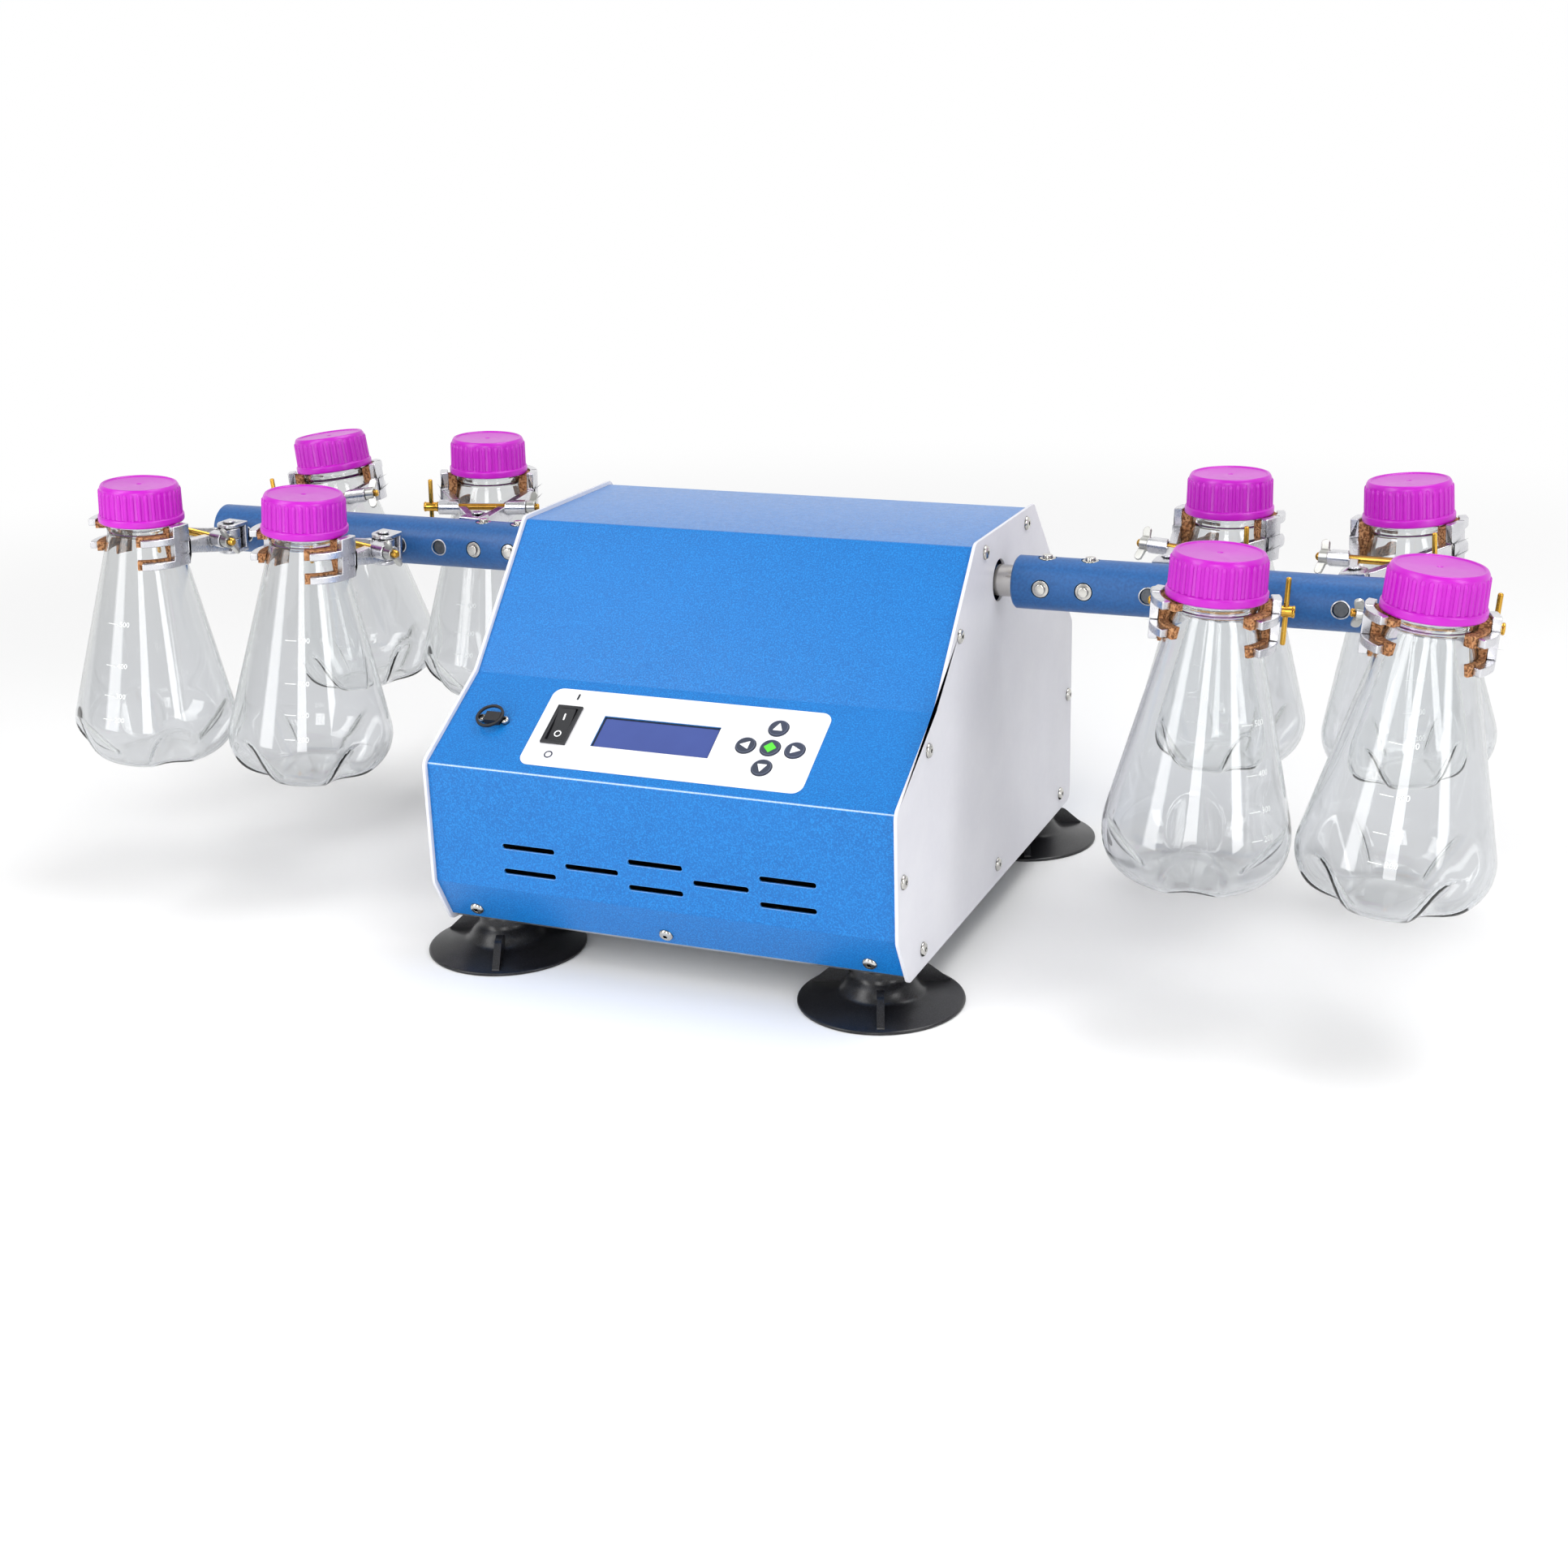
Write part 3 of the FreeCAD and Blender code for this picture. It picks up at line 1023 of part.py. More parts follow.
def jaw(bar, fingers, low_knuckle, slot_length):
    """Right-hand jaw casting: knuckle, tapered lever with screw pad, back bar and two fingers."""
    outer = JAW_INNER_RADIUS + JAW_THICKNESS
    pieces = [sector(JAW_INNER_RADIUS, outer, bar[0], bar[1], JAW_BAR_FRONT, JAW_BAR_BACK)]
    for low in fingers:
        pieces.append(sector(JAW_INNER_RADIUS, outer, low, low + FINGER_HEIGHT, FINGER_END, JAW_BAR_BACK))
    for piece in pieces:
        piece.translate(V(0, -NECK_REACH, 0))
    root = V(LEVER_ROOT_X, -LEVER_ROOT_Y, 0)
    middle = (JAW_INNER_RADIUS + outer) / 2.0
    end_turn = math.radians(JAW_BAR_BACK - 4)
    tip = V(middle * math.cos(end_turn), middle * math.sin(end_turn) - NECK_REACH, 0)
    along = (tip - root).normalize()
    across = V(-along.y, along.x, 0) * (LEVER_PLATE / 2.0)
    corners = [root - across, tip - across, tip + across, root + across]
    plan = prism([c + V(0, 0, LEVER_TAIL_LOW) for c in corners], V(0, 0, LEVER_JAW_HIGH - LEVER_TAIL_LOW))
    level_end = -BOSS_RADIUS - 1
    side_view = [
        V(-1, 0, LEVER_TAIL_LOW), V(-1, 0, LEVER_TAIL_HIGH), V(-1, level_end, LEVER_TAIL_HIGH),
        V(-1, tip.y - 4, LEVER_JAW_HIGH), V(-1, tip.y - 4, LEVER_JAW_LOW), V(-1, level_end, LEVER_TAIL_LOW),
    ]
    lever = plan.common(prism(side_view, V(outer + 10, 0, 0)))
    pad = rod(V(0, -SCREW_REACH, SCREW_LEVEL), X_AXIS, PAD_RADIUS, PAD_FACE)
    inner_side = corners[3], corners[2]
    trim = prism([
        V(-1, inner_side[0].y, -THROUGH), V(inner_side[0].x, inner_side[0].y, -THROUGH),
        V(inner_side[1].x, inner_side[1].y, -THROUGH), V(-1, inner_side[1].y, -THROUGH),
    ], V(0, 0, 2 * THROUGH))
    flat = box(-1, PAD_FACE + 1, -THROUGH, 0, SCREW_LEVEL + PAD_RADIUS - PAD_FLAT, THROUGH)
    pieces += [lever, pad.cut([trim, flat])]
    low, high = (LEVER_TAIL_LOW, KNUCKLE_SPLIT - 0.1) if low_knuckle else (KNUCKLE_SPLIT + 0.1, LEVER_TAIL_HIGH)
    knuckle = rod(V(0, 0, low), Z_AXIS, BOSS_RADIUS, high - low)
    web = box(0, LEVER_ROOT_X + 2, -LEVER_ROOT_Y - 3, 0, low, high)
    pieces += [knuckle, web]
    body = fuse(pieces)
    other = (KNUCKLE_SPLIT - 0.05, LEVER_TAIL_HIGH + 6) if low_knuckle else (LEVER_TAIL_LOW - 2, KNUCKLE_SPLIT + 0.05)
    half_slot = slot_length / 2.0
    radius = SCREW_RADIUS + SOFT_GAP
    cuts = [
        rod(V(0, -NECK_REACH, -THROUGH), Z_AXIS, JAW_INNER_RADIUS, 2 * THROUGH),
        rod(V(0, 0, other[0]), Z_AXIS, BOSS_RADIUS + SOFT_GAP, other[1] - other[0]),
        rod(V(0, 0, -THROUGH), Z_AXIS, PIN_RADIUS + RUNNING_FIT, 2 * THROUGH),
        rod(V(-1, -SCREW_REACH, SCREW_LEVEL), X_AXIS, radius, PAD_FACE + 3),
    ]
    if half_slot > radius:
        reach = half_slot - radius
        back_end = -SCREW_REACH + radius
        cuts.append(box(-1, PAD_FACE + 3, back_end - radius - reach * 2, -SCREW_REACH,
                        SCREW_LEVEL - radius, SCREW_LEVEL + radius))
        cuts.append(rod(V(-1, -SCREW_REACH - 2 * reach, SCREW_LEVEL), X_AXIS, radius, PAD_FACE + 3))
    return body.cut(cuts)


def mirrored(shape):
    """Mirror image across the clamp's own mid-plane."""
    return shape.mirror(V(0, 0, 0), X_AXIS)


def clamp_stem():
    """Cast fork that holds the pivot pin, with its domed boss and the rod through the arm."""
    fork = []
    for low in (FORK_BOTTOM, FORK_TOP - FORK_PLATE):
        fork.append(rod(V(0, 0, low), Z_AXIS, BOSS_RADIUS, FORK_PLATE))
        fork.append(box(-BOSS_RADIUS, BOSS_RADIUS, 0, BOSS_RADIUS + 4, low, low + FORK_PLATE))
    inner = BOSS_RADIUS + 0.8
    fork.append(box(-BOSS_RADIUS, BOSS_RADIUS, inner, BOSS_RADIUS + 4, FORK_BOTTOM, FORK_TOP))
    dome_centre = V(0, BOSS_LENGTH - BOSS_RADIUS, 0)
    fork.append(rod(V(0, inner, 0), Y_AXIS, BOSS_RADIUS, dome_centre.y - inner))
    fork.append(Part.makeSphere(BOSS_RADIUS, dome_centre).cut(box(-20, 20, -20, dome_centre.y, -20, 20)))
    length = PIVOT_REACH + ARM_RADIUS - ROD_SHORT - inner
    fork.append(rod(V(0, inner, 0), Y_AXIS, ROD_RADIUS, length))
    pin_hole = rod(V(0, 0, -THROUGH), Z_AXIS, PIN_RADIUS, 2 * THROUGH)
    return fuse(fork).cut(pin_hole)


def pivot_pin():
    """Headed brass pin of the clamp."""
    shank = rod(V(0, 0, FORK_BOTTOM), Z_AXIS, PIN_RADIUS, FORK_TOP - FORK_BOTTOM)
    head = rod(V(0, 0, FORK_TOP), Z_AXIS, PIN_HEAD_RADIUS, PIN_HEAD_HEIGHT)
    return fuse([shank, head])


def wing_nut():
    """Wing nut seated on the left-hand lever's pad."""
    start = V(-PAD_FACE - PRESS_SEAT, -SCREW_REACH, SCREW_LEVEL)
    hub = rod(start, X_AXIS * -1, NUT_RADIUS, NUT_LENGTH)
    pieces = [hub]
    for sign in (-1, 1):
        half = WING_THICKNESS / 2.0
        shoulder = WING_LENGTH - WING_END_RADIUS
        blade = box(-2 * WING_END_RADIUS - 0.8, -0.8, -half, half, WING_ROOT, shoulder)
        tip = rod(V(-WING_END_RADIUS - 0.8, -half, shoulder), Y_AXIS, WING_END_RADIUS, WING_THICKNESS)
        wing = fuse([blade, tip])
        wing.rotate(V(0, 0, 0), Y_AXIS, -WING_LEAN)
        if sign < 0:
            wing.rotate(V(0, 0, 0), X_AXIS, 180)
        wing.rotate(V(0, 0, 0), X_AXIS, WING_SLOPE)
        wing.translate(start)
        pieces.append(wing)
    bore = rod(start + X_AXIS, X_AXIS * -1, SCREW_RADIUS + 0.1, NUT_LENGTH + 4)
    return fuse(pieces).cut(bore)


def closing_screw():
    """Brass screw with its end boss and tommy bar, entering from the right-hand side."""
    face = PAD_FACE + 0.15
    shank = rod(V(-SCREW_TAIL, -SCREW_REACH, SCREW_LEVEL), X_AXIS, SCREW_RADIUS, SCREW_TAIL + face)
    boss = rod(V(face, -SCREW_REACH, SCREW_LEVEL), X_AXIS, SCREW_BOSS_RADIUS, SCREW_BOSS_LENGTH)
    middle = face + SCREW_BOSS_LENGTH / 2.0
    tommy = rod(V(middle, -SCREW_REACH, SCREW_LEVEL - TOMMY_LENGTH / 2.0), Z_AXIS, TOMMY_RADIUS, TOMMY_LENGTH)
    return fuse([shank, boss, tommy])


def stem_placement(name):
    """Frame of a clamp's stem: origin on the pivot pin at shaft height, -Y towards the flask."""
    x, row, lean = STATIONS[name][:3]
    turn = 0 if row < 0 else 180
    at_shaft = FreeCAD.Placement(V(x, 0, SHAFT_HEIGHT), FreeCAD.Rotation(Y_AXIS, lean))
    about = FreeCAD.Placement(V(0, 0, 0), FreeCAD.Rotation(Z_AXIS, turn))
    reach = FreeCAD.Placement(V(0, -PIVOT_REACH, 0), FreeCAD.Rotation())
    return at_shaft.multiply(about).multiply(reach)


def grip_placement(name):
    """Frame of a clamp's jaws, swivelled on the pivot pin."""
    swivel = STATIONS[name][3]
    turn = FreeCAD.Placement(V(0, 0, 0), FreeCAD.Rotation(Z_AXIS, swivel))
    return stem_placement(name).multiply(turn)


def screw_side(name):
    """+1 where the closing screw enters the clamp's own right-hand jaw, so that it points outboard."""
    x, row = STATIONS[name][:2]
    return (1 if x > 0 else -1) * (1 if row < 0 else -1)


def placed(shape, placement):
    """Copy of a shape moved from a clamp's frame into the shaker's frame."""
    return shape.transformed(placement.toMatrix(), True)


def export(name, shapes):
    """Write one node."""
    solids = shapes if isinstance(shapes, list) else [shapes]
    shape = solids[0] if len(solids) == 1 else Part.makeCompound(solids)
    shape.exportStep("parts/" + name + ".step")


def export_stations():
    """Write the clamp, screw and flask of every station, and the caps as one group."""
    right_fixed = jaw(RIGHT_BAR, RIGHT_FINGERS, True, 0)
    right_moving = jaw(RIGHT_BAR, RIGHT_FINGERS, True, SCREW_SLOT)
    left_fixed = mirrored(jaw(LEFT_BAR, LEFT_FINGERS, False, 0))
    left_moving = mirrored(jaw(LEFT_BAR, LEFT_FINGERS, False, SCREW_SLOT))
    right_cork = cork_pad(RIGHT_BAR, RIGHT_FINGERS)
    left_cork = mirrored(cork_pad(LEFT_BAR, LEFT_FINGERS))
    stem = clamp_stem()
    pin = pivot_pin()
    nut = wing_nut()
    screw = closing_screw()
    glass = flask()
    cap = screw_cap()
    caps = []
    for name in STATIONS:
        at_stem = stem_placement(name)
        at_grip = grip_placement(name)
        if screw_side(name) > 0:
            fixed = [left_fixed, left_cork, nut]
            moving = [right_moving, right_cork]
            bolt = screw
        else:
            fixed = [right_fixed, right_cork, mirrored(nut)]
            moving = [left_moving, left_cork]
            bolt = mirrored(screw)
        frame = [placed(stem, at_stem), placed(pin, at_stem)] + [placed(s, at_grip) for s in fixed]
        export(name + "_clamp", frame)
        export(name + "_jaw", [placed(s, at_grip) for s in moving])
        export(name + "_screw", placed(bolt, at_grip))
        own_turn = FreeCAD.Placement(V(0, 0, 0), FreeCAD.Rotation(Z_AXIS, STATIONS[name][4]), V(0, -NECK_REACH, 0))
        export(name + "_flask", placed(glass, at_grip.multiply(own_turn)))
        caps.append(placed(cap, at_grip))
    export("flask_caps", caps)


def main():
    """Build every node of the shaker."""
    os.makedirs("parts", exist_ok=True)
    export("cover", cover())
    export("chassis", chassis())
    export("left_side_panel", side_panel(-1))
    export("right_side_panel", side_panel(1))
    export("case_screws", case_screws())
    export("suction_feet", [suction_foot(x, y) for x, y in foot_places()])
    export("control_overlay", control_overlay())
    export("display_window", display_window())
    for name in KEYS:
        export(name, key(name))
    export("switch_body", switch_body())
    export("switch_rocker", switch_rocker())
    export("data_port", data_port())
    export("port_cap", port_cap())
    export("swing_shaft", swing_shaft())
    export("left_arm", arm(-1))
    export("right_arm", arm(1))
    export("arm_screws", arm_screws())
    export("shaft_bearings", shaft_bearings())
    export("rocker_lever", rocker_lever())
    export("crank", crank())
    export("drive_motor", drive_motor())
    export("control_board", control_board())
    export("power_inlet", power_inlet())
    export_stations()


if __name__ == "__main__":
    main()
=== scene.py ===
"""Hand motion shaker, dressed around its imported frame.

The frame gives every place. A piece's own sizes are in millimetres in the piece's own frame, and a placement matrix
carries them into the frame's metres.
"""
import json
import logging
import math
from collections.abc import Callable, Iterable, Sequence
from dataclasses import dataclass, field
from enum import Enum

import bmesh
import bpy
from mathutils import Matrix, Vector


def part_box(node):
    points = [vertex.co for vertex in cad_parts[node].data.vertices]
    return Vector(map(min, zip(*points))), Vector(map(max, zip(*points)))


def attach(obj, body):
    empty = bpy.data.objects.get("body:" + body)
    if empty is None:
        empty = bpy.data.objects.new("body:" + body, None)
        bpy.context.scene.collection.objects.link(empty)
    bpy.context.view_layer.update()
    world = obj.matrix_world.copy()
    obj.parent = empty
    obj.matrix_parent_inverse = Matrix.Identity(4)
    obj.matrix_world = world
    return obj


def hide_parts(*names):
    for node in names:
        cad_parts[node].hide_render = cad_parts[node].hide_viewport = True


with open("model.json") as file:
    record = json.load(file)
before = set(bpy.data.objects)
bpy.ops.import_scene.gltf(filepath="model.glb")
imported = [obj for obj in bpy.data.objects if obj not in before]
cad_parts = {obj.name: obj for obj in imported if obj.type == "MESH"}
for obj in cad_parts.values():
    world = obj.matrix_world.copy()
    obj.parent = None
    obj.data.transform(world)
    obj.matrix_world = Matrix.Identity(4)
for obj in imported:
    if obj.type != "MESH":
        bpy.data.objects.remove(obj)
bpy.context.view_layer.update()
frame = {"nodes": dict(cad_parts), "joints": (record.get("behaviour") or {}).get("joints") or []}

MM = 0.001
TO_METRES = Matrix.Scale(MM, 4)
WELD_MM = 0.002
X_AXIS, Y_AXIS, Z_AXIS = Vector((1, 0, 0)), Vector((0, 1, 0)), Vector((0, 0, 1))
# Way in which the cover faces halfway round its front fold, where a highlight is painted pale into the coat.
FRONT_FOLD = Vector((0.0, -0.87, 0.49)).normalized()
# Band in which most values of a noise lie.
NOISE_BAND = (0.3, 0.7)
# Steps of a unit normal's parts, within which two faces count as facing the same way.
NORMAL_STEPS = 200
# Share of a screw's greatest radius from which a point belongs to its widest ring.
RIM_SHARE = 0.97

log = logging.getLogger("shaker")
Point = Sequence[float]


# Colours and shader nodes

def linear(code: str) -> tuple[float, float, float, float]:
    """Turn an sRGB hex colour into linear light.

    Args:
        code: Colour written as #RRGGBB.

    Returns:
        Linear red, green and blue with full opacity.
    """
    channels = [int(code[i:i + 2], 16) / 255 for i in (1, 3, 5)]
    light = [c / 12.92 if c <= 0.04045 else ((c + 0.055) / 1.055) ** 2.4 for c in channels]
    return light[0], light[1], light[2], 1.0


def add(tree: bpy.types.NodeTree, kind: str, feeds: dict | None = None, **settings: object) -> bpy.types.Node:
    """Add one node with its settings and links.

    Args:
        tree: Node tree that takes the node.
        kind: Blender's name of the node type.
        feeds: Value or output socket for each input, by the input's name or number.
        **settings: Properties of the node itself.

    Returns:
        The new node.
    """
    made = tree.nodes.new(kind)
    for name, value in settings.items():
        setattr(made, name, value)
    for key, value in (feeds or {}).items():
        if isinstance(value, bpy.types.NodeSocket):
            tree.links.new(value, made.inputs[key])
        else:
            made.inputs[key].default_value = value
    return made


def ranged(tree: bpy.types.NodeTree, value: bpy.types.NodeSocket, low: float, high: float, to_low: float = 0.0,
           to_high: float = 1.0, **settings: object) -> bpy.types.NodeSocket:
    """Add a map from one range of a value to another.

    Args:
        tree: Node tree that takes the node.
        value: Socket of the value.
        low: Value that gives the first result.
        high: Value that gives the last result.
        to_low: First result.
        to_high: Last result.
        **settings: Properties of the node itself.

    Returns:
        Socket of the result.
    """
    return add(tree, "ShaderNodeMapRange", {
        "Value": value, "From Min": low, "From Max": high, "To Min": to_low, "To Max": to_high,
    }, **settings).outputs[0]


def worked(tree: bpy.types.NodeTree, operation: str, *values: object) -> bpy.types.NodeSocket:
    """Add one step of arithmetic.

    Args:
        tree: Node tree that takes the node.
        operation: Blender's name of the operation.
        *values: Value or socket of each term.

    Returns:
        Socket of the result.
    """
    return add(tree, "ShaderNodeMath", dict(enumerate(values)), operation=operation).outputs[0]


def mixed(tree: bpy.types.NodeTree, share: bpy.types.NodeSocket, first: object, second: object,
          coloured: bool = True) -> bpy.types.NodeSocket:
    """Add a blend of two colours, or of two numbers.

    Args:
        tree: Node tree that takes the node.
        share: Socket of the second one's share.
        first: Value or socket where the share is zero.
        second: Value or socket where the share is one.
        coloured: Whether they are colours.

    Returns:
        Socket of the blend.
    """
    kind, seat, out = ("RGBA", 6, 2) if coloured else ("FLOAT", 2, 0)
    return add(tree, "ShaderNodeMix", {0: share, seat: first, seat + 1: second}, data_type=kind).outputs[out]


def empty_tree(owner: bpy.types.Material | bpy.types.World) -> bpy.types.NodeTree:
    """Clear the node tree of a material or of the world, and give it."""
    owner.use_nodes = True
    owner.node_tree.nodes.clear()
    return owner.node_tree


def linked(name: str, data: bpy.types.ID) -> bpy.types.Object:
    """Make an object of some data and link it into the scene."""
    made = bpy.data.objects.new(name, data)
    bpy.context.scene.collection.objects.link(made)
    return made


# Finishes

class Lay(Enum):
    """Direction in which a surface's marks run, as weights of the three coordinates."""

    EVEN = (1.0, 1.0, 1.0)
    ROUND_X = (1.0, 0.03, 0.03)
    ALONG_X = (0.03, 1.0, 1.0)


@dataclass(frozen=True)
class Finish:
    """Surface of one real material, built once as a node material."""

    name: str
    colour: str
    roughness: float
    tone: str = ""
    metallic: float = 0.0
    cloud_mm: float = 45.0
    grain_mm: float = 1.0
    relief_mm: float = 0.0
    spread: float = 0.12
    lay: Lay = Lay.EVEN
    # Colour and width of lightened edges, partly wear and partly painted highlight.
    edge: str = ""
    edge_mm: float = 0.5
    coat: float = 0.0
    sheen: float = 0.0
    # Reach and colour (recess) of the shade painted dark into recesses.
    recess_mm: float = 0.0
    recess: str = "#3A3B3E"
    ior: float = 1.5
    speck: str = ""
    speck_mm: float = 1.0
    # Colour of the highlight painted pale along the front fold.
    fold: str = ""

    def build(self) -> bpy.types.Material:
        """Make the material, or give the one made before.

        Returns:
            The material of this finish.
        """
        known = bpy.data.materials.get(self.name)
        if known:
            return known
        material = bpy.data.materials.new(self.name)
        tree = empty_tree(material)
        place = add(tree, "ShaderNodeTexCoord").outputs["Object"]
        output = add(tree, "ShaderNodeOutputMaterial")
        tree.links.new(self.shader(tree, place).outputs[0], output.inputs["Surface"])
        return material

    def shader(self, tree: bpy.types.NodeTree, place: bpy.types.NodeSocket) -> bpy.types.Node:
        """Add the surface shader.

        Args:
            tree: Node tree of the material.
            place: Object coordinates.

        Returns:
            Shader node whose first output is the surface.
        """
        made = add(tree, "ShaderNodeBsdfPrincipled", {
            "Base Color": self.colouring(tree, place),
            "Roughness": self.dulling(tree, place),
            "Metallic": self.metallic,
            "Coat Weight": self.coat,
            "Coat Roughness": 0.08,
            "Sheen Weight": self.sheen,
            "Sheen Roughness": 0.28,
        })
        if not self.metallic:
            made.inputs["IOR"].default_value = self.ior
        if self.relief_mm:
            tree.links.new(self.relief(tree, place), made.inputs["Normal"])
        return made

    def noise(self, tree: bpy.types.NodeTree, place: bpy.types.NodeSocket, size_mm: float,
              detail: float = 2.0, lay: Lay = Lay.EVEN) -> bpy.types.NodeSocket:
        """Add a noise whose patches have a real size.

        Args:
            tree: Node tree of the material.
            place: Object coordinates.
            size_mm: Size of one patch in millimetres.
            detail: Octaves of finer noise.
            lay: Direction of the pattern.

        Returns:
            Socket of the noise factor.
        """
        if lay is not Lay.EVEN:
            place = add(tree, "ShaderNodeMapping", {"Vector": place, "Scale": lay.value}).outputs[0]
        made = add(tree, "ShaderNodeTexNoise", {"Vector": place, "Scale": 1 / (size_mm * MM), "Detail": detail})
        return made.outputs["Fac"]

    def colouring(self, tree: bpy.types.NodeTree, place: bpy.types.NodeSocket) -> bpy.types.NodeSocket:
        """Add slow colour variation, fine flecks, edges lightened as wear and painted highlight, a highlight painted
        along the front fold and shade painted into recesses.

        Args:
            tree: Node tree of the material.
            place: Object coordinates.

        Returns:
            Socket of the surface colour.
        """
        cloud = ranged(tree, self.noise(tree, place, self.cloud_mm, 3.0), 0.35, 0.65)
        colour = mixed(tree, cloud, linear(self.colour), linear(self.tone or self.colour))
        # Shade painted dark into recesses, only where a reach for it is set.
        recess = self.recess if self.recess_mm else ""
        layers = (
            (self.speck, self.flecks), (self.edge, self.edge_line), (self.fold, self.fold_line), (recess, self.hollows),
        )
        for code, mask in layers:
            if code:
                colour = mixed(tree, mask(tree, place), colour, linear(code))
        return colour

    def flecks(self, tree: bpy.types.NodeTree, place: bpy.types.NodeSocket) -> bpy.types.NodeSocket:
        """Add a mask of fine flecks.

        Args:
            tree: Node tree of the material.
            place: Object coordinates.

        Returns:
            Socket of the mask.
        """
        return ranged(tree, self.noise(tree, place, self.speck_mm, 1.0), 0.42, 0.68)

    def edge_line(self, tree: bpy.types.NodeTree, place: bpy.types.NodeSocket) -> bpy.types.NodeSocket:
        """Add a mask along rounded edges, lightened partly as wear and partly as a painted highlight.

        Args:
            tree: Node tree of the material.
            place: Object coordinates.

        Returns:
            Socket of the mask.
        """
        round_normal = add(tree, "ShaderNodeBevel", {"Radius": self.edge_mm * MM}, samples=4).outputs[0]
        flat_normal = add(tree, "ShaderNodeNewGeometry").outputs["Normal"]
        near = add(tree, "ShaderNodeVectorMath", {0: round_normal, 1: flat_normal}, operation="DOT_PRODUCT")
        line = ranged(tree, near.outputs["Value"], 0.99, 0.8)
        patchy = ranged(tree, self.noise(tree, place, 4.0), *NOISE_BAND, to_low=0.35)
        return worked(tree, "MULTIPLY", line, patchy)

    def fold_line(self, tree: bpy.types.NodeTree, place: bpy.types.NodeSocket) -> bpy.types.NodeSocket:
        """Add a mask along the front fold, where a highlight is painted pale into the coat.

        Args:
            tree: Node tree of the material.
            place: Object coordinates.

        Returns:
            Socket of the mask.
        """
        facing = add(tree, "ShaderNodeNewGeometry").outputs["Normal"]
        near = add(tree, "ShaderNodeVectorMath", {0: facing, 1: FRONT_FOLD}, operation="DOT_PRODUCT")
        line = ranged(tree, near.outputs["Value"], 0.982, 0.996)
        grain = ranged(tree, self.noise(tree, place, 1.2), *NOISE_BAND, to_low=0.55)
        return worked(tree, "MULTIPLY", line, grain)

    def hollows(self, tree: bpy.types.NodeTree, place: bpy.types.NodeSocket) -> bpy.types.NodeSocket:
        """Add a mask of the places that the open sky hardly reaches, where shade is painted dark.

        Args:
            tree: Node tree of the material.
            place: Object coordinates, which this mask does without.

        Returns:
            Socket of the mask.
        """
        open_sky = add(tree, "ShaderNodeAmbientOcclusion", {"Distance": self.recess_mm * MM}, samples=6)
        return ranged(tree, open_sky.outputs["AO"], 0.9, 0.4, to_high=0.95)

    def dulling(self, tree: bpy.types.NodeTree, place: bpy.types.NodeSocket) -> bpy.types.NodeSocket:
        """Add roughness with slight variation.

        Args:
            tree: Node tree of the material.
            place: Object coordinates.

        Returns:
            Socket of the roughness.
        """
        patches = self.noise(tree, place, self.grain_mm * 4, 3.0, self.lay)
        dullest, brightest = self.roughness * (1 + self.spread), self.roughness * (1 - self.spread)
        return ranged(tree, patches, *NOISE_BAND, brightest, dullest)

    def relief(self, tree: bpy.types.NodeTree, place: bpy.types.NodeSocket) -> bpy.types.NodeSocket:
        """Add the grain as a bump.

        Args:
            tree: Node tree of the material.
            place: Object coordinates.

        Returns:
            Socket of the bumped normal.
        """
        height = self.noise(tree, place, self.grain_mm, 2.0, self.lay)
        return add(tree, "ShaderNodeBump", {"Distance": self.relief_mm * MM, "Height": height}).outputs[0]


@dataclass(frozen=True)
class CorkFinish(Finish):
    """Pressed cork: granules of several browns with dark pores between them."""

    dark: str = "#6E4526"
    granule_mm: float = 1.7

    def colouring(self, tree: bpy.types.NodeTree, place: bpy.types.NodeSocket) -> bpy.types.NodeSocket:
        """Add granules in two browns and dark pores.

        Args:
            tree: Node tree of the material.
            place: Object coordinates.

        Returns:
            Socket of the surface colour.
        """
        cells = add(tree, "ShaderNodeTexVoronoi", {"Vector": place, "Scale": 1 / (self.granule_mm * MM)})
        body = mixed(tree, ranged(tree, cells.outputs["Color"], 0.2, 0.9), linear(self.colour), linear(self.tone))
        pores = ranged(tree, self.noise(tree, place, self.granule_mm * 0.8, 4.0), 0.5, 0.56)
        return mixed(tree, pores, body, linear(self.dark))


@dataclass(frozen=True)
class GlassFinish(Finish):
    """Clear blown glass with a faint green tint in its thickness."""

    tint: str = "#9FCBCB"
    density: float = 12.0

    def shader(self, tree: bpy.types.NodeTree, place: bpy.types.NodeSocket) -> bpy.types.Node:
        """Add a clear glass surface, and the tint as an absorbing volume.

        Args:
            tree: Node tree of the material.
            place: Object coordinates.

        Returns:
            Shader node whose first output is the surface.
        """
        output = next(n for n in tree.nodes if n.type == "OUTPUT_MATERIAL")
        volume = add(tree, "ShaderNodeVolumeAbsorption", {"Color": linear(self.tint), "Density": self.density})
        tree.links.new(volume.outputs[0], output.inputs["Volume"])
        return add(tree, "ShaderNodeBsdfPrincipled", {
            "Base Color": linear(self.colour),
            "Roughness": self.dulling(tree, place),
            "IOR": self.ior,
            "Transmission Weight": 1.0,
            "Normal": self.relief(tree, place),
        })


@dataclass(frozen=True)
class LitFinish(Finish):
    """Back-lit display film behind its pane."""

    glow: float = 0.25

    def shader(self, tree: bpy.types.NodeTree, place: bpy.types.NodeSocket) -> bpy.types.Node:
        """Add the surface with its own weak light.

        Args:
            tree: Node tree of the material.
            place: Object coordinates.

        Returns:
            Shader node whose first output is the surface.
        """
        made = super().shader(tree, place)
        made.inputs["Emission Color"].default_value = linear(self.colour)
        made.inputs["Emission Strength"].default_value = self.glow
        return made
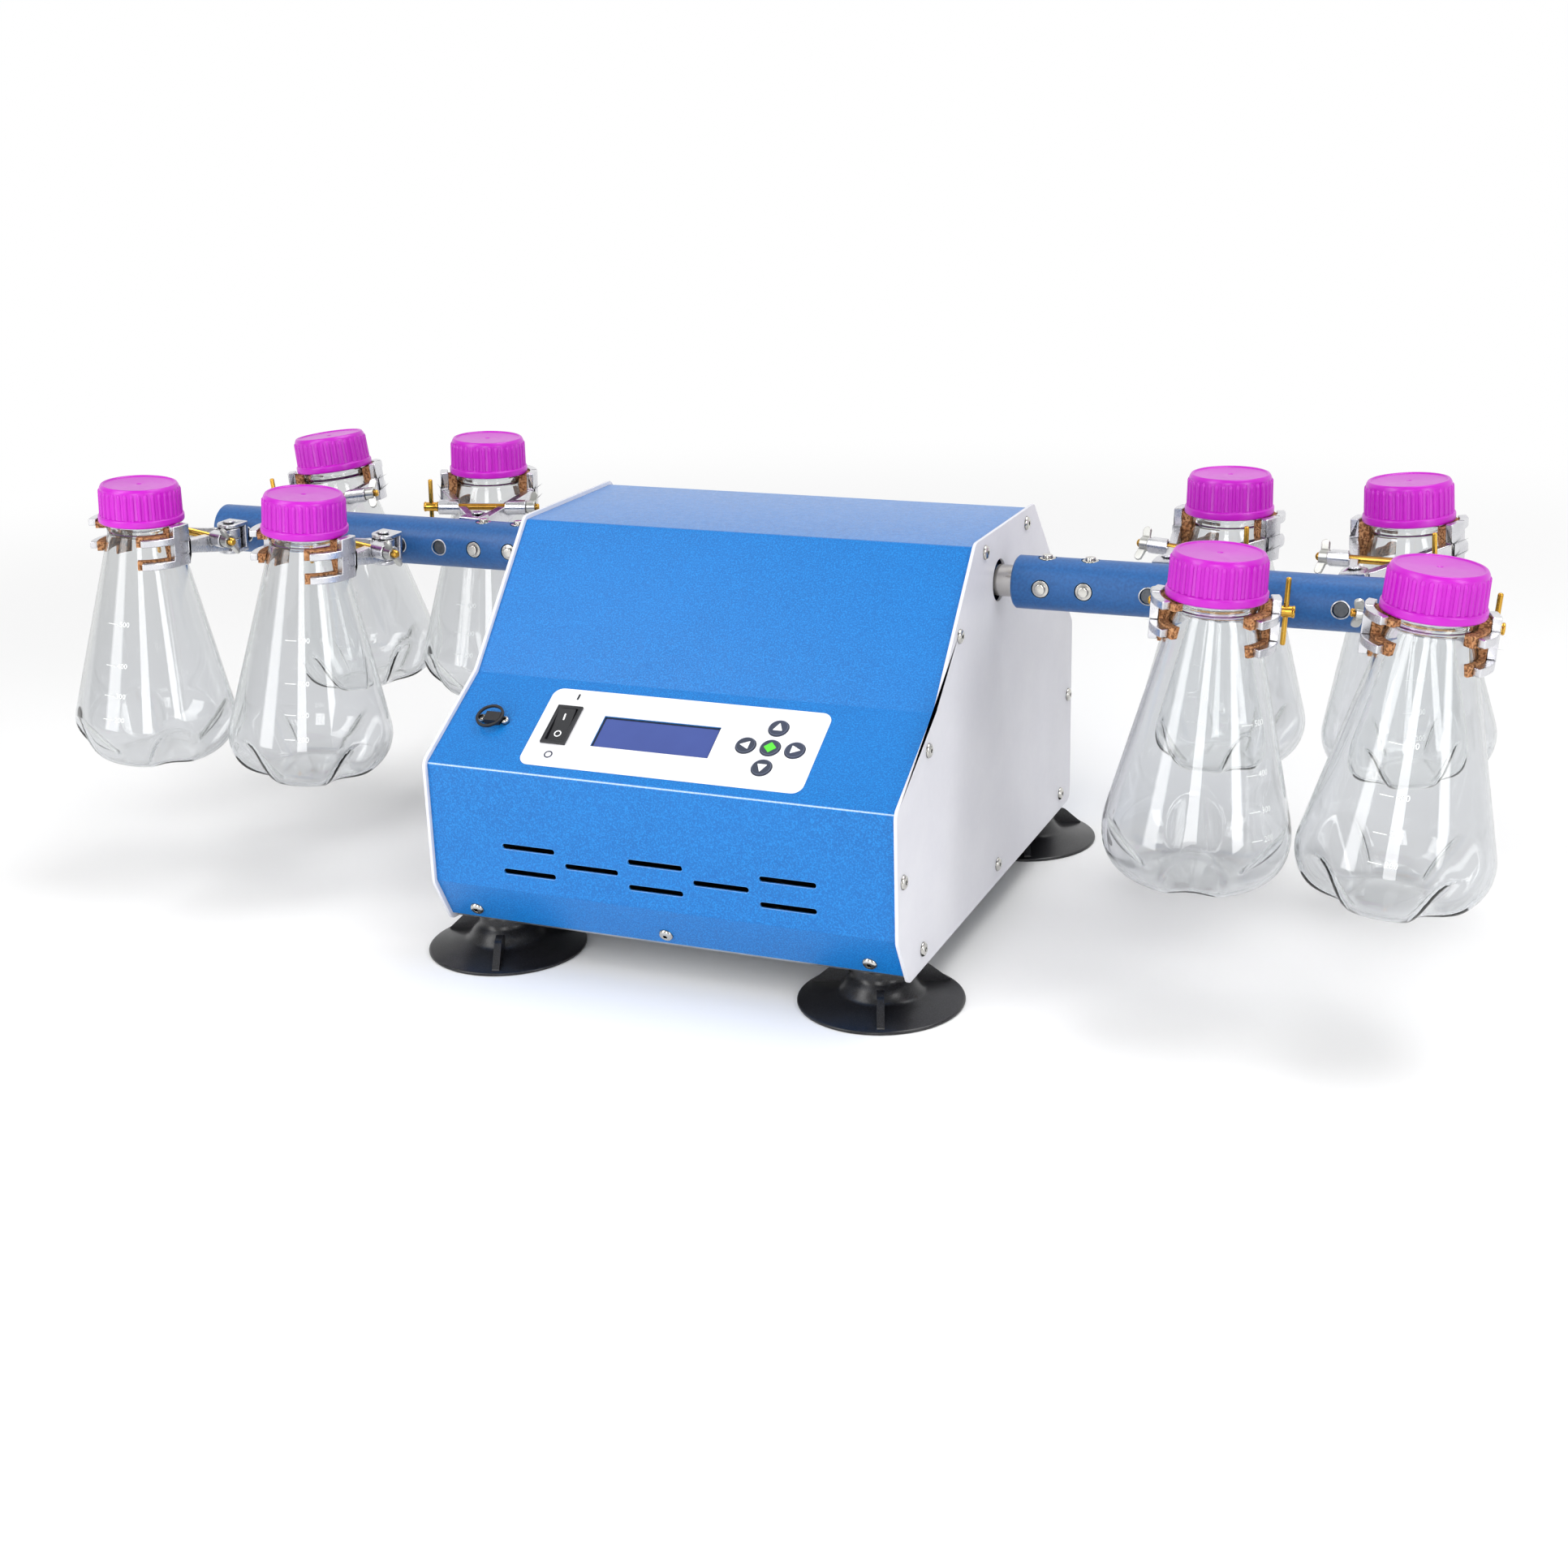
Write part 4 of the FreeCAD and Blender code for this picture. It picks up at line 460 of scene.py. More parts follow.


# Polyester powder coat, baked: a fine orange-peel texture whose paler flecks break the light into soft grain, with a
# highlight painted pale along the front fold, and edges lightened partly as wear and partly as painted highlight. The
# real grain is 0.5 mm, drawn at 0.8 and 0.9 mm to show.
COVER_COAT = Finish("blue_powder_coat", "#0467B4", 0.36, tone="#0463AE", grain_mm=0.9, relief_mm=0.04,
                    edge="#5AA2E8", edge_mm=1.2, sheen=0.5, ior=1.45, speck="#107ECB", speck_mm=0.8, fold="#B9D2F4")
# The same coat in light grey on the flat end panels, edges lightened partly as wear and partly as painted highlight.
PANEL_COAT = Finish("light_grey_powder_coat", "#DDDDE3", 0.45, tone="#D8D8DF", grain_mm=1.0, relief_mm=0.025,
                    edge="#EFEFF4", edge_mm=0.6, sheen=0.05)
# Darker blue coat on the turned arm bars, finely mottled, with edges lightened partly as wear and partly as painted
# highlight. The mottle is 1 mm on the real bar, drawn at 1.6 mm.
ARM_COAT = Finish("dark_blue_powder_coat", "#205E9E", 0.4, tone="#1A518C", cloud_mm=1.6, grain_mm=1.0,
                  relief_mm=0.03, edge="#4C86C0", edge_mm=0.7, sheen=0.08)
# Zinc-plated sheet steel of the hidden chassis.
ZINC_SHEET = Finish("zinc_plated_steel_sheet", "#B9BDC2", 0.4, tone="#A9AEB5", metallic=1.0, cloud_mm=12.0,
                    grain_mm=2.0, relief_mm=0.01, lay=Lay.ALONG_X)
# Nickel-plated button and socket screws: bright, with soft tool marks, shade painted dark into the sockets, and
# edges lightened partly as wear and partly as painted highlight.
PLATED_STEEL = Finish("nickel_plated_steel", "#D2D0CA", 0.2, tone="#C6C4C0", metallic=1.0, grain_mm=0.6,
                      relief_mm=0.003, edge="#F3F1EC", edge_mm=0.3, recess_mm=3.0, recess="#2C2D30")
# Turned steel of the clamp rods: their sawn ends are dull and grey.
ROD_STEEL = Finish("turned_clamp_rod_steel", "#62656A", 0.4, tone="#55585D", metallic=1.0, cloud_mm=3.0, grain_mm=0.6,
                   relief_mm=0.004)
# Bare metal where the paint ends at a drilled hole.
BARE_RIM = Finish("bare_drilled_steel_rim", "#DADBDD", 0.3, tone="#B9BBBF", metallic=1.0, cloud_mm=2.0, grain_mm=0.6,
                  relief_mm=0.004)
# Ground shaft: grinding lines run round it.
GROUND_STEEL = Finish("ground_shaft_steel", "#C9C6C1", 0.22, tone="#B7B3AD", metallic=1.0, grain_mm=0.5,
                      relief_mm=0.006, spread=0.35, lay=Lay.ROUND_X)
# Die-cast aluminium, tumbled: satin skin with rounded edges, lightened partly as wear and partly as painted
# highlight, and shade painted dark into its recesses.
CAST_ALUMINIUM = Finish("tumbled_cast_aluminium", "#DCDCDF", 0.27, tone="#CDCDD2", metallic=1.0, cloud_mm=14.0,
                        grain_mm=1.6, relief_mm=0.008, spread=0.15, edge="#EEEFF1", edge_mm=0.7, recess_mm=2.5,
                        recess="#6E6F73")
# Drawn brass of pins and closing screws, lightly polished, with shade painted dark into its recesses and edges
# lightened partly as wear and partly as painted highlight.
BRASS = Finish("polished_drawn_brass", "#D9AA48", 0.2, tone="#CB9A3E", metallic=1.0, cloud_mm=12.0, grain_mm=1.0,
               relief_mm=0.003, spread=0.2, edge="#F2D38C", edge_mm=0.4, recess_mm=1.2, recess="#6B4C1A")
# Zinc-plated wing nut, pressed or cast, with shade painted dark into its recesses and edges lightened partly as
# wear and partly as painted highlight.
ZINC_CAST = Finish("zinc_plated_cast_nut", "#CFCFCB", 0.3, tone="#BFBFBA", metallic=1.0, cloud_mm=9.0, grain_mm=1.4,
                   relief_mm=0.006, edge="#F1F1EE", edge_mm=0.5, recess_mm=1.5, recess="#66665F")
# Agglomerated cork sheet, cut and glued in.
CORK = CorkFinish("pressed_cork", "#C99567", 0.85, tone="#A66C40", grain_mm=0.9, relief_mm=0.2)
# Borosilicate glass, blown and fire-polished: colourless, with a faint green edge.
LAB_GLASS = GlassFinish("borosilicate_glass", "#FFFFFF", 0.01, grain_mm=30.0, relief_mm=0.03, ior=1.473)
# Baked ceramic ink of the flask's scale.
WHITE_ENAMEL = Finish("white_ceramic_ink", "#F4F6F6", 0.5, tone="#ECEFEF", grain_mm=0.8, relief_mm=0.01)
# Injection-moulded polypropylene caps: bright, slightly translucent, edges lightened partly as wear and partly as
# painted highlight.
CAP_PLASTIC = Finish("magenta_moulded_polypropylene", "#BF0EBE", 0.3, tone="#B70BB7", cloud_mm=30.0, grain_mm=1.2,
                     relief_mm=0.003, spread=0.08, edge="#E13FDF", edge_mm=0.4)
# Moulded black rubber of the suction feet: glossy from the mould, with specks of dust.
FOOT_RUBBER = Finish("moulded_black_rubber", "#0A0A0C", 0.3, tone="#0E0E11", cloud_mm=30.0, grain_mm=3.0,
                     relief_mm=0.003, spread=0.08, speck="#26262A", speck_mm=0.7)
CAP_RUBBER = Finish("soft_black_rubber", "#141416", 0.5, tone="#1B1B1E", grain_mm=0.8, relief_mm=0.02)
# Back-printed polycarbonate film: the label's white is smooth and satin.
LABEL_FILM = Finish("white_polycarbonate_film", "#F4F4F6", 0.35, tone="#F0F0F3", grain_mm=1.2, relief_mm=0.006)
BLACK_INK = Finish("black_screen_ink", "#16171B", 0.4, grain_mm=0.8, relief_mm=0.004)
GREY_INK = Finish("slate_screen_ink", "#2F3448", 0.4, grain_mm=0.8, relief_mm=0.004)
# Blue negative display behind a clear acrylic pane.
DISPLAY_FILM = LitFinish("blue_display_film", "#33488F", 0.16, tone="#2F4388", cloud_mm=30.0, grain_mm=1.5,
                         relief_mm=0.004, coat=0.3, glow=0.05)
DISPLAY_FRAME = Finish("black_display_frame", "#20242E", 0.45, grain_mm=0.8, relief_mm=0.005)
KEY_PLASTIC = Finish("slate_key_plastic", "#343B50", 0.42, tone="#303748", grain_mm=0.8, relief_mm=0.01)
KEY_RING_INK = Finish("slate_ring_ink", "#6A7186", 0.45, grain_mm=0.8, relief_mm=0.004)
KEY_MARK = Finish("white_key_ink", "#F4F5F7", 0.4, grain_mm=0.8, relief_mm=0.004)
KEY_GREEN = Finish("green_key_ink", "#58D63A", 0.4, grain_mm=0.8, relief_mm=0.004)
# Glass-filled nylon of switch and inlet: dull black with a fine spark-eroded texture.
SWITCH_NYLON = Finish("black_moulded_nylon", "#17181B", 0.42, tone="#1D1E22", grain_mm=0.7, relief_mm=0.015)
# Tinned steel shell of the connector, with shade painted dark into its recess.
PORT_SHELL = Finish("tinned_steel_shell", "#C4C4C0", 0.3, metallic=1.0, grain_mm=0.8, relief_mm=0.006, recess_mm=1.5)
MOTOR_COAT = Finish("black_motor_enamel", "#2A2C30", 0.4, grain_mm=1.2, relief_mm=0.02)
BOARD_RESIN = Finish("green_solder_mask", "#1F6B3E", 0.35, tone="#1A5C35", cloud_mm=5.0, grain_mm=1.0, relief_mm=0.02)


# Forms

class Form:
    """Faces gathered in one mesh, given in a local frame and kept in the frame's metres."""

    def __init__(self) -> None:
        """Start with no faces."""
        self.bm = bmesh.new()

    @classmethod
    def of_node(cls, node: str) -> "Form":
        """Start with the faces of a CAD node as they lie.

        Args:
            node: Name of the node.

        Returns:
            The form.
        """
        source = merged(node)
        form = cls()
        form.take(source.faces)
        source.free()
        return form

    def add(self, points: Iterable[Point], faces: Iterable[Sequence[int]], place: Matrix, slot: int = 0) -> None:
        """Add faces.

        Args:
            points: Corner places in the local frame.
            faces: Corner numbers of each face.
            place: Matrix from the local frame into the frame.
            slot: Number of the finish for these faces.
        """
        made = [self.bm.verts.new(place @ Vector(p)) for p in points]
        for corners in faces:
            face = self.bm.faces.new([made[i] for i in corners])
            face.material_index = slot
            face.smooth = True

    def turned(self, profile: Sequence[Point], place: Matrix, slot: int = 0, steps: int = 64, ring: bool = False,
               bend: Callable[[Vector, int], Vector] | None = None) -> None:
        """Add a surface turned about the local Z axis.

        Args:
            profile: Radius and height pairs. A radius of zero closes the form at the axis.
            place: Matrix from the local frame into the frame.
            slot: Number of the finish.
            steps: Faces round the axis.
            ring: Whether the profile's last point joins its first.
            bend: Change of a point's place in the local frame, told the number of its profile point.
        """
        points: list[Vector] = []
        rows: list[list[int]] = []
        for number, (radius, height) in enumerate(profile):
            count = steps if radius > 1e-6 else 1
            rows.append(list(range(len(points), len(points) + count)))
            for i in range(count):
                turn = 2 * math.pi * i / steps
                point = Vector((radius * math.cos(turn), radius * math.sin(turn), height))
                points.append(bend(point, number) if bend else point)
        faces = []
        pairs = list(zip(rows, rows[1:])) + ([(rows[-1], rows[0])] if ring else [])
        for low, high in pairs:
            for i in range(steps):
                j = (i + 1) % steps
                if len(low) == 1 and len(high) == 1:
                    continue
                if len(low) == 1:
                    faces.append((low[0], high[j], high[i]))
                elif len(high) == 1:
                    faces.append((low[i], low[j], high[0]))
                else:
                    faces.append((low[i], low[j], high[j], high[i]))
        self.add(points, faces, place, slot)

    def plate(self, outline: Sequence[Point], low: float, high: float, place: Matrix, slot: int = 0) -> None:
        """Add a flat plate.

        Args:
            outline: Corners (x, y) in order.
            low: Level of its underside.
            high: Level of its top.
            place: Matrix from the local frame into the frame.
            slot: Number of the finish.
        """
        count = len(outline)
        points = [(x, y, low) for x, y in outline] + [(x, y, high) for x, y in outline]
        faces = [tuple(range(count))[::-1], tuple(range(count, 2 * count))]
        faces += [(i, (i + 1) % count, count + (i + 1) % count, count + i) for i in range(count)]
        self.add(points, faces, place, slot)

    def take(self, faces: Iterable[bmesh.types.BMFace], slot: int = 0) -> None:
        """Copy faces of another mesh as they lie.

        Args:
            faces: Faces to copy.
            slot: Number of the finish.
        """
        made: dict[int, bmesh.types.BMVert] = {}
        for face in faces:
            corners = []
            for vert in face.verts:
                if vert.index not in made:
                    made[vert.index] = self.bm.verts.new(vert.co)
                corners.append(made[vert.index])
            copy = self.bm.faces.new(corners)
            copy.material_index = slot
            copy.smooth = True

    def finish(self, name: str, *finishes: Finish, crease: float = 32.0, round_mm: float = 0.0,
               segments: int = 3, outward: bool = True) -> bpy.types.Object:
        """Turn the faces into an object of the scene.

        Args:
            name: Name of the piece.
            *finishes: Finish of each slot.
            crease: Angle in degrees above which an edge stays sharp.
            round_mm: Radius that a bevel gives to sharp edges, or zero for none.
            segments: Faces across that bevel.
            outward: Whether the faces are turned outwards here.

        Returns:
            The object.
        """
        if outward:
            bmesh.ops.recalc_face_normals(self.bm, faces=self.bm.faces)
        mesh = bpy.data.meshes.new(name)
        self.bm.to_mesh(mesh)
        self.bm.free()
        for finish in finishes:
            mesh.materials.append(finish.build())
        piece = linked(name, mesh)
        if round_mm:
            bevel = piece.modifiers.new("rounded_edges", "BEVEL")
            bevel.width = round_mm * MM
            bevel.segments = segments
            bevel.limit_method = "ANGLE"
            bevel.angle_limit = math.radians(crease)
            bevel.use_clamp_overlap = False
            bevel.harden_normals = True
        else:
            mesh.set_sharp_from_angle(angle=math.radians(crease))
        return piece


def shade_round(piece: bpy.types.Object, start: Vector, radius: float) -> None:
    """Shade the faces of a bar along X as one true cylinder, and leave the others as they lie.

    Args:
        piece: Object that holds the bar.
        start: A point on the bar's axis.
        radius: Radius of the bar in metres.
    """
    mesh = piece.data
    normals = []
    for face in mesh.polygons:
        spokes = [mesh.vertices[i].co - start for i in face.vertices]
        spokes = [Vector((0.0, s.y, s.z)) for s in spokes]
        skin = all(abs(s.length - radius) < WELD_MM * MM * 10 for s in spokes) and abs(face.normal.x) < 0.2
        normals += [s.normalized() if skin else face.normal.copy() for s in spokes]
    mesh.normals_split_custom_set(normals)


def arc(centre: Point, radius: float, start: float, stop: float, steps: int = 8) -> list[tuple[float, float]]:
    """Points along an arc.

    Args:
        centre: Middle of the arc.
        radius: Its radius.
        start: First angle in degrees.
        stop: Last angle in degrees.
        steps: Parts of the arc.

    Returns:
        Points from the first angle to the last.
    """
    points = []
    for i in range(steps + 1):
        turn = math.radians(start + (stop - start) * i / steps)
        points.append((centre[0] + radius * math.cos(turn), centre[1] + radius * math.sin(turn)))
    return points


def rounded_box(width: float, height: float, corner: float, centre: Point = (0.0, 0.0)) -> list[tuple[float, float]]:
    """Outline of a rectangle with rounded corners.

    Args:
        width: Size along x.
        height: Size along y.
        corner: Corner radius.
        centre: Middle of the rectangle.

    Returns:
        Corner points, anticlockwise.
    """
    points = []
    for sx, sy, start in ((1, 1, 0), (-1, 1, 90), (-1, -1, 180), (1, -1, 270)):
        middle = (centre[0] + sx * (width / 2 - corner), centre[1] + sy * (height / 2 - corner))
        points += arc(middle, corner, start, start + 90, 5)
    return points


def softened(corners: Sequence[Point], radius: float, steps: int = 5,
             closed: bool = True) -> list[tuple[float, float]]:
    """Round the corners of a line of points.

    Args:
        corners: Corner points in order.
        radius: Length taken from each side of a corner, at most.
        steps: Parts of each rounding.
        closed: Whether the line is a loop.

    Returns:
        Points of the rounded line.
    """
    points: list[tuple[float, float]] = []
    count = len(corners)
    for i in range(count):
        here = Vector(corners[i])
        if not closed and i in (0, count - 1):
            points.append((here.x, here.y))
            continue
        before, after = Vector(corners[i - 1]) - here, Vector(corners[(i + 1) % count]) - here
        reach = min(radius, before.length * 0.45, after.length * 0.45)
        start, stop = here + before.normalized() * reach, here + after.normalized() * reach
        for k in range(steps + 1):
            t = k / steps
            point = start * (1 - t) ** 2 + here * (2 * t * (1 - t)) + stop * t ** 2
            points.append((point.x, point.y))
    return points


def bands(rows: int, count: int, closed: bool = False) -> list[tuple[int, int, int, int]]:
    """Faces between rings of points that are numbered ring by ring.

    Args:
        rows: Number of rings.
        count: Points in each ring.
        closed: Whether the last ring joins the first.

    Returns:
        Corner numbers of each face.
    """
    faces = []
    for near in range(rows if closed else rows - 1):
        far = (near + 1) % rows
        for i in range(count):
            j = (i + 1) % count
            faces.append((near * count + i, near * count + j, far * count + j, far * count + i))
    return faces


def settle(piece: bpy.types.Object, body: str, slot: str, *nodes: str) -> bpy.types.Object:
    """Hand a finished piece to the frame.

    Args:
        piece: The piece.
        body: Body that it rides on.
        slot: Material slot of the record.
        *nodes: CAD nodes that it stands for.

    Returns:
        The piece.
    """
    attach(piece, body)
    if nodes:
        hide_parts(*nodes)
    log.info("%s rides on %s in %s", piece.name, body, slot)
    return piece


def clad(name: str, node: str, finish: Finish, body: str, slot: str, round_mm: float, segments: int = 3) -> None:
    """Dress a CAD node in its own shape with softened edges.

    Args:
        name: Name of the piece.
        node: CAD node that it stands for.
        finish: Its finish.
        body: Body that it rides on.
        slot: Material slot of the record.
        round_mm: Radius of its edges.
        segments: Faces across each edge.
    """
    piece = Form.of_node(node).finish(name, finish, round_mm=round_mm, segments=segments, outward=False)
    settle(piece, body, slot, node)


def dress(finish: Finish, *nodes: str) -> None:
    """Give CAD nodes a finish as they are.

    Args:
        finish: The finish.
        *nodes: Names of the nodes.
    """
    for name in nodes:
        mesh = frame["nodes"][name].data
        mesh.materials.clear()
        mesh.materials.append(finish.build())
        log.info("%s keeps its own shape in %s", name, finish.name)


def merged(node: str) -> bmesh.types.BMesh:
    """Copy a CAD node's mesh with its loose triangles joined and its flat faces whole.

    Args:
        node: Name of the node.

    Returns:
        The joined copy.
    """
    bm = bmesh.new()
    bm.from_mesh(frame["nodes"][node].data)
    bmesh.ops.remove_doubles(bm, verts=bm.verts, dist=WELD_MM * MM)
    bmesh.ops.dissolve_degenerate(bm, edges=bm.edges, dist=WELD_MM * MM)
    bmesh.ops.dissolve_limit(bm, angle_limit=math.radians(0.5), verts=bm.verts, edges=bm.edges)
    bm.verts.index_update()
    return bm


def solids(bm: bmesh.types.BMesh) -> list[list[bmesh.types.BMFace]]:
    """Part a mesh into its separate solids.

    Args:
        bm: The mesh.

    Returns:
        Faces of each solid, in the order in which they are met.
    """
    seen: set[int] = set()
    found = []
    bm.faces.ensure_lookup_table()
    bm.faces.index_update()
    for first in bm.faces:
        if first.index in seen:
            continue
        seen.add(first.index)
        heap = [first]
        for face in heap:
            for edge in face.edges:
                for near in edge.link_faces:
                    if near.index not in seen:
                        seen.add(near.index)
                        heap.append(near)
        found.append(heap)
    return found


def box_in(points: Iterable[Vector], place: Matrix) -> tuple[Vector, Vector]:
    """Lowest and highest corner of points in a local frame.

    Args:
        points: Places in the frame.
        place: Matrix from the local frame into the frame.

    Returns:
        The two corners in the local frame.
    """
    back = place.inverted()
    local = [back @ p for p in points]
    low = Vector([min(p[i] for p in local) for i in range(3)])
    high = Vector([max(p[i] for p in local) for i in range(3)])
    return low, high


def node_box(node: str, place: Matrix) -> tuple[Vector, Vector]:
    """Lowest and highest corner of a CAD node in a local frame."""
    return box_in((v.co for v in frame["nodes"][node].data.vertices), place)


def frame_at(origin: Vector, x_axis: Vector, y_axis: Vector, z_axis: Vector) -> Matrix:
    """Matrix from a local frame in millimetres into the frame in metres.

    Args:
        origin: Local origin in metres.
        x_axis: Local X as a unit vector.
        y_axis: Local Y as a unit vector.
        z_axis: Local Z as a unit vector.

    Returns:
        The matrix.
    """
    turn = Matrix((x_axis, y_axis, z_axis)).transposed().to_4x4()
    return Matrix.Translation(origin) @ turn @ TO_METRES


# Repeated items

class Recipe:
    """Geometry Nodes tree with named inputs, run once on a carrier mesh."""

    def __init__(self, name: str, inputs: dict[str, str]) -> None:
        """Start a tree.

        Args:
            name: Name of the tree.
            inputs: Socket type of each named input.
        """
        self.tree = bpy.data.node_groups.new(name, "GeometryNodeTree")
        face = self.tree.interface
        face.new_socket("Geometry", in_out="INPUT", socket_type="NodeSocketGeometry")
        for label, kind in inputs.items():
            face.new_socket(label, in_out="INPUT", socket_type=kind)
        face.new_socket("Geometry", in_out="OUTPUT", socket_type="NodeSocketGeometry")
        self.given = add(self.tree, "NodeGroupInput").outputs

    def end(self, geometry: bpy.types.NodeSocket) -> None:
        """Close the tree with real geometry in the given finish, keeping its items' smooth shading.

        Args:
            geometry: Socket of the instances.
        """
        real = add(self.tree, "GeometryNodeRealizeInstances", {"Geometry": geometry})
        dressed = add(self.tree, "GeometryNodeSetMaterial", {
            "Geometry": real.outputs[0], "Material": self.given["Finish"],
        })
        add(self.tree, "NodeGroupOutput", {"Geometry": dressed.outputs[0]})

    def spread(self, item: bpy.types.NodeSocket) -> bpy.types.NodeSocket:
        """Put an item on each point of the carrier, turned as the point says.

        Args:
            item: Socket of the item's geometry.

        Returns:
            Socket of the instances.
        """
        turn = add(self.tree, "GeometryNodeInputNamedAttribute", {"Name": "turn"}, data_type="QUATERNION")
        made = add(self.tree, "GeometryNodeInstanceOnPoints", {
            "Points": self.given["Geometry"], "Instance": item, "Rotation": turn.outputs[0],
        })
        return made.outputs[0]

    def run(self, name: str, seats: Sequence[Matrix], values: dict[str, object]) -> bpy.types.Object:
        """Run the tree and keep its result as a plain mesh.

        Args:
            name: Name of the piece.
            seats: Placement of each item.
            values: Value of each named input.

        Returns:
            The object.
        """
        mesh = bpy.data.meshes.new(name + "_points")
        mesh.from_pydata([seat.translation for seat in seats], [], [])
        turns = mesh.attributes.new("turn", "QUATERNION", "POINT")
        for seat, item in zip(seats, turns.data):
            item.value = seat.to_quaternion()
        carrier = linked(name + "_points", mesh)
        modifier = carrier.modifiers.new("recipe", "NODES")
        modifier.node_group = self.tree
        for item in self.tree.interface.items_tree:
            if item.item_type == "SOCKET" and item.in_out == "INPUT" and item.name in values:
                modifier[item.identifier] = values[item.name]
        graph = bpy.context.evaluated_depsgraph_get()
        result = bpy.data.meshes.new_from_object(carrier.evaluated_get(graph), depsgraph=graph)
        carrier.modifiers.remove(modifier)
        bpy.data.objects.remove(carrier)
        result.name = name
        return linked(name, result)


def seat_along(seat: Vector, axis: Vector) -> Matrix:
    """Placement in metres whose Z runs along an axis."""
    return Matrix.Translation(seat) @ axis.to_track_quat("Z", "Y").to_matrix().to_4x4()


def screw_axis(faces: Sequence[bmesh.types.BMFace]) -> tuple[Vector, Vector, float]:
    """Find the axis of a headed screw from its faces.

    Args:
        faces: Faces of one screw.

    Returns:
        A point on the axis level with the widest ring nearest the shank, the direction towards the head, and the
        head's radius, in metres.
    """
    points = list({v.index: v.co.copy() for f in faces for v in f.verts}.values())
    directions: dict[tuple[int, int, int], float] = {}
    for face in faces:
        key = tuple(round(abs(c) * NORMAL_STEPS) * (1 if c >= 0 else -1) for c in face.normal)
        directions[key] = directions.get(key, 0.0) + face.calc_area()
    best = max(directions, key=lambda k: directions[k])
    axis = Vector(best).normalized()
    centre = sum(points, Vector()) / len(points)
    ranked = sorted(points, key=lambda p: (p - centre).dot(axis))
    reach = [((p - centre) - axis * (p - centre).dot(axis)).length for p in points]
    middle = (ranked[0] - centre).dot(axis) / 2 + (ranked[-1] - centre).dot(axis) / 2
    lever = sum(((p - centre).dot(axis) - middle) * r for p, r in zip(points, reach))
    if lever < 0:
        axis = -axis
    radius = max(reach)
    seat = min((p - centre).dot(axis) for p, r in zip(points, reach) if r > radius * RIM_SHARE)
    return centre + axis * seat, axis, radius


class ScrewRows:
    """Screw heads repeated over a CAD node's own screw places."""

    def __init__(self) -> None:
        """Make the tree."""
        self.recipe = Recipe("screw_rows", {
            "Head": "NodeSocketObject", "Size": "NodeSocketFloat", "Finish": "NodeSocketMaterial",
        })
        tree = self.recipe.tree
        head = add(tree, "GeometryNodeObjectInfo", {"Object": self.recipe.given["Head"]})
        sized = add(tree, "GeometryNodeTransform", {
            "Geometry": head.outputs["Geometry"], "Scale": self.recipe.given["Size"],
        })
        self.recipe.end(self.recipe.spread(sized.outputs[0]))

    def build(self, name: str, node: str, head: Form, finish: Finish, unit_radius: float) -> bpy.types.Object:
        """Repeat a head on every screw of a node.

        Args:
            name: Name of the piece.
            node: CAD node that holds the screws.
            head: Head modelled at the origin along Z, its seat at zero.
            finish: Finish of the screws.
            unit_radius: Radius of the modelled head in metres.

        Returns:
            The object.
        """
        source = merged(node)
        found = [screw_axis(faces) for faces in solids(source)]
        source.free()
        pattern = head.finish(name + "_pattern", finish, crease=30)
        seats = [seat_along(seat, axis) for seat, axis, _ in found]
        size = sum(radius for _, _, radius in found) / len(found) / unit_radius
        piece = self.recipe.run(name, seats, {"Head": pattern, "Size": size, "Finish": finish.build()})
        bpy.data.objects.remove(pattern)
        log.info("%s: %d screws", name, len(found))
        return piece


@dataclass
class ScrewHead:
    """Head and shank of a screw with a hexagon socket, in millimetres along Z from its seat."""

    radius: float
    height: float
    socket: float
    recess: float
    shank: float
    length: float
    domed: bool
    steps: int = 36

    def form(self) -> Form:
        """Model the screw at the origin.

        Returns:
            Its form in metres.
        """
        form = Form()
        top = self.radius * (0.62 if self.domed else 0.9)
        inner = self.socket / math.sqrt(3)
        side = [(self.shank, 0.0), (self.radius - 0.15, 0.0), (self.radius, 0.2)]
        if self.domed:
            side += [(self.radius * 0.97, self.height * 0.35), (self.radius * 0.84, self.height * 0.78)]
        else:
            side += [(self.radius, self.height - 0.45), (self.radius - 0.15, self.height - 0.12)]
        side.append((top, self.height))
        profile = [(0.0, -self.length), (self.shank - 0.3, -self.length), (self.shank, 0.3 - self.length)] + side
        steps = self.steps
        form.turned(softened(profile, 0.25, 2, closed=False), TO_METRES, steps=steps)
        turns = [2 * math.pi * i / steps for i in range(steps)]
        rim = [(top * math.cos(turn), top * math.sin(turn)) for turn in turns]
        edge = self.hexagon(inner, steps)
        floor = self.height - self.recess
        rings = (
            (rim, self.height), (self.hexagon(inner * 1.06, steps), self.height),
            (edge, self.height - 0.15), (edge, floor),
        )
        points = [(x, y, level) for ring, level in rings for x, y in ring] + [(0.0, 0.0, floor - inner * 0.25)]
        cone = [(3 * steps + i, 3 * steps + (i + 1) % steps, 4 * steps) for i in range(steps)]
        form.add(points, bands(4, steps) + cone, TO_METRES)
        bmesh.ops.remove_doubles(form.bm, verts=form.bm.verts, dist=1e-6)
        return form

    @staticmethod
    def hexagon(radius: float, steps: int) -> list[tuple[float, float]]:
        """Points of a hexagon at even angles.

        Args:
            radius: Distance of its corners.
            steps: Number of points, a multiple of six.

        Returns:
            The points.
        """
        points = []
        for i in range(steps):
            turn = 2 * math.pi * i / steps
            off = (turn + math.pi / 6) % (math.pi / 3) - math.pi / 6
            reach = radius * math.cos(math.pi / 6) / math.cos(math.pi / 6 - abs(off))
            points.append((reach * math.cos(turn), reach * math.sin(turn)))
        return points


# Housing

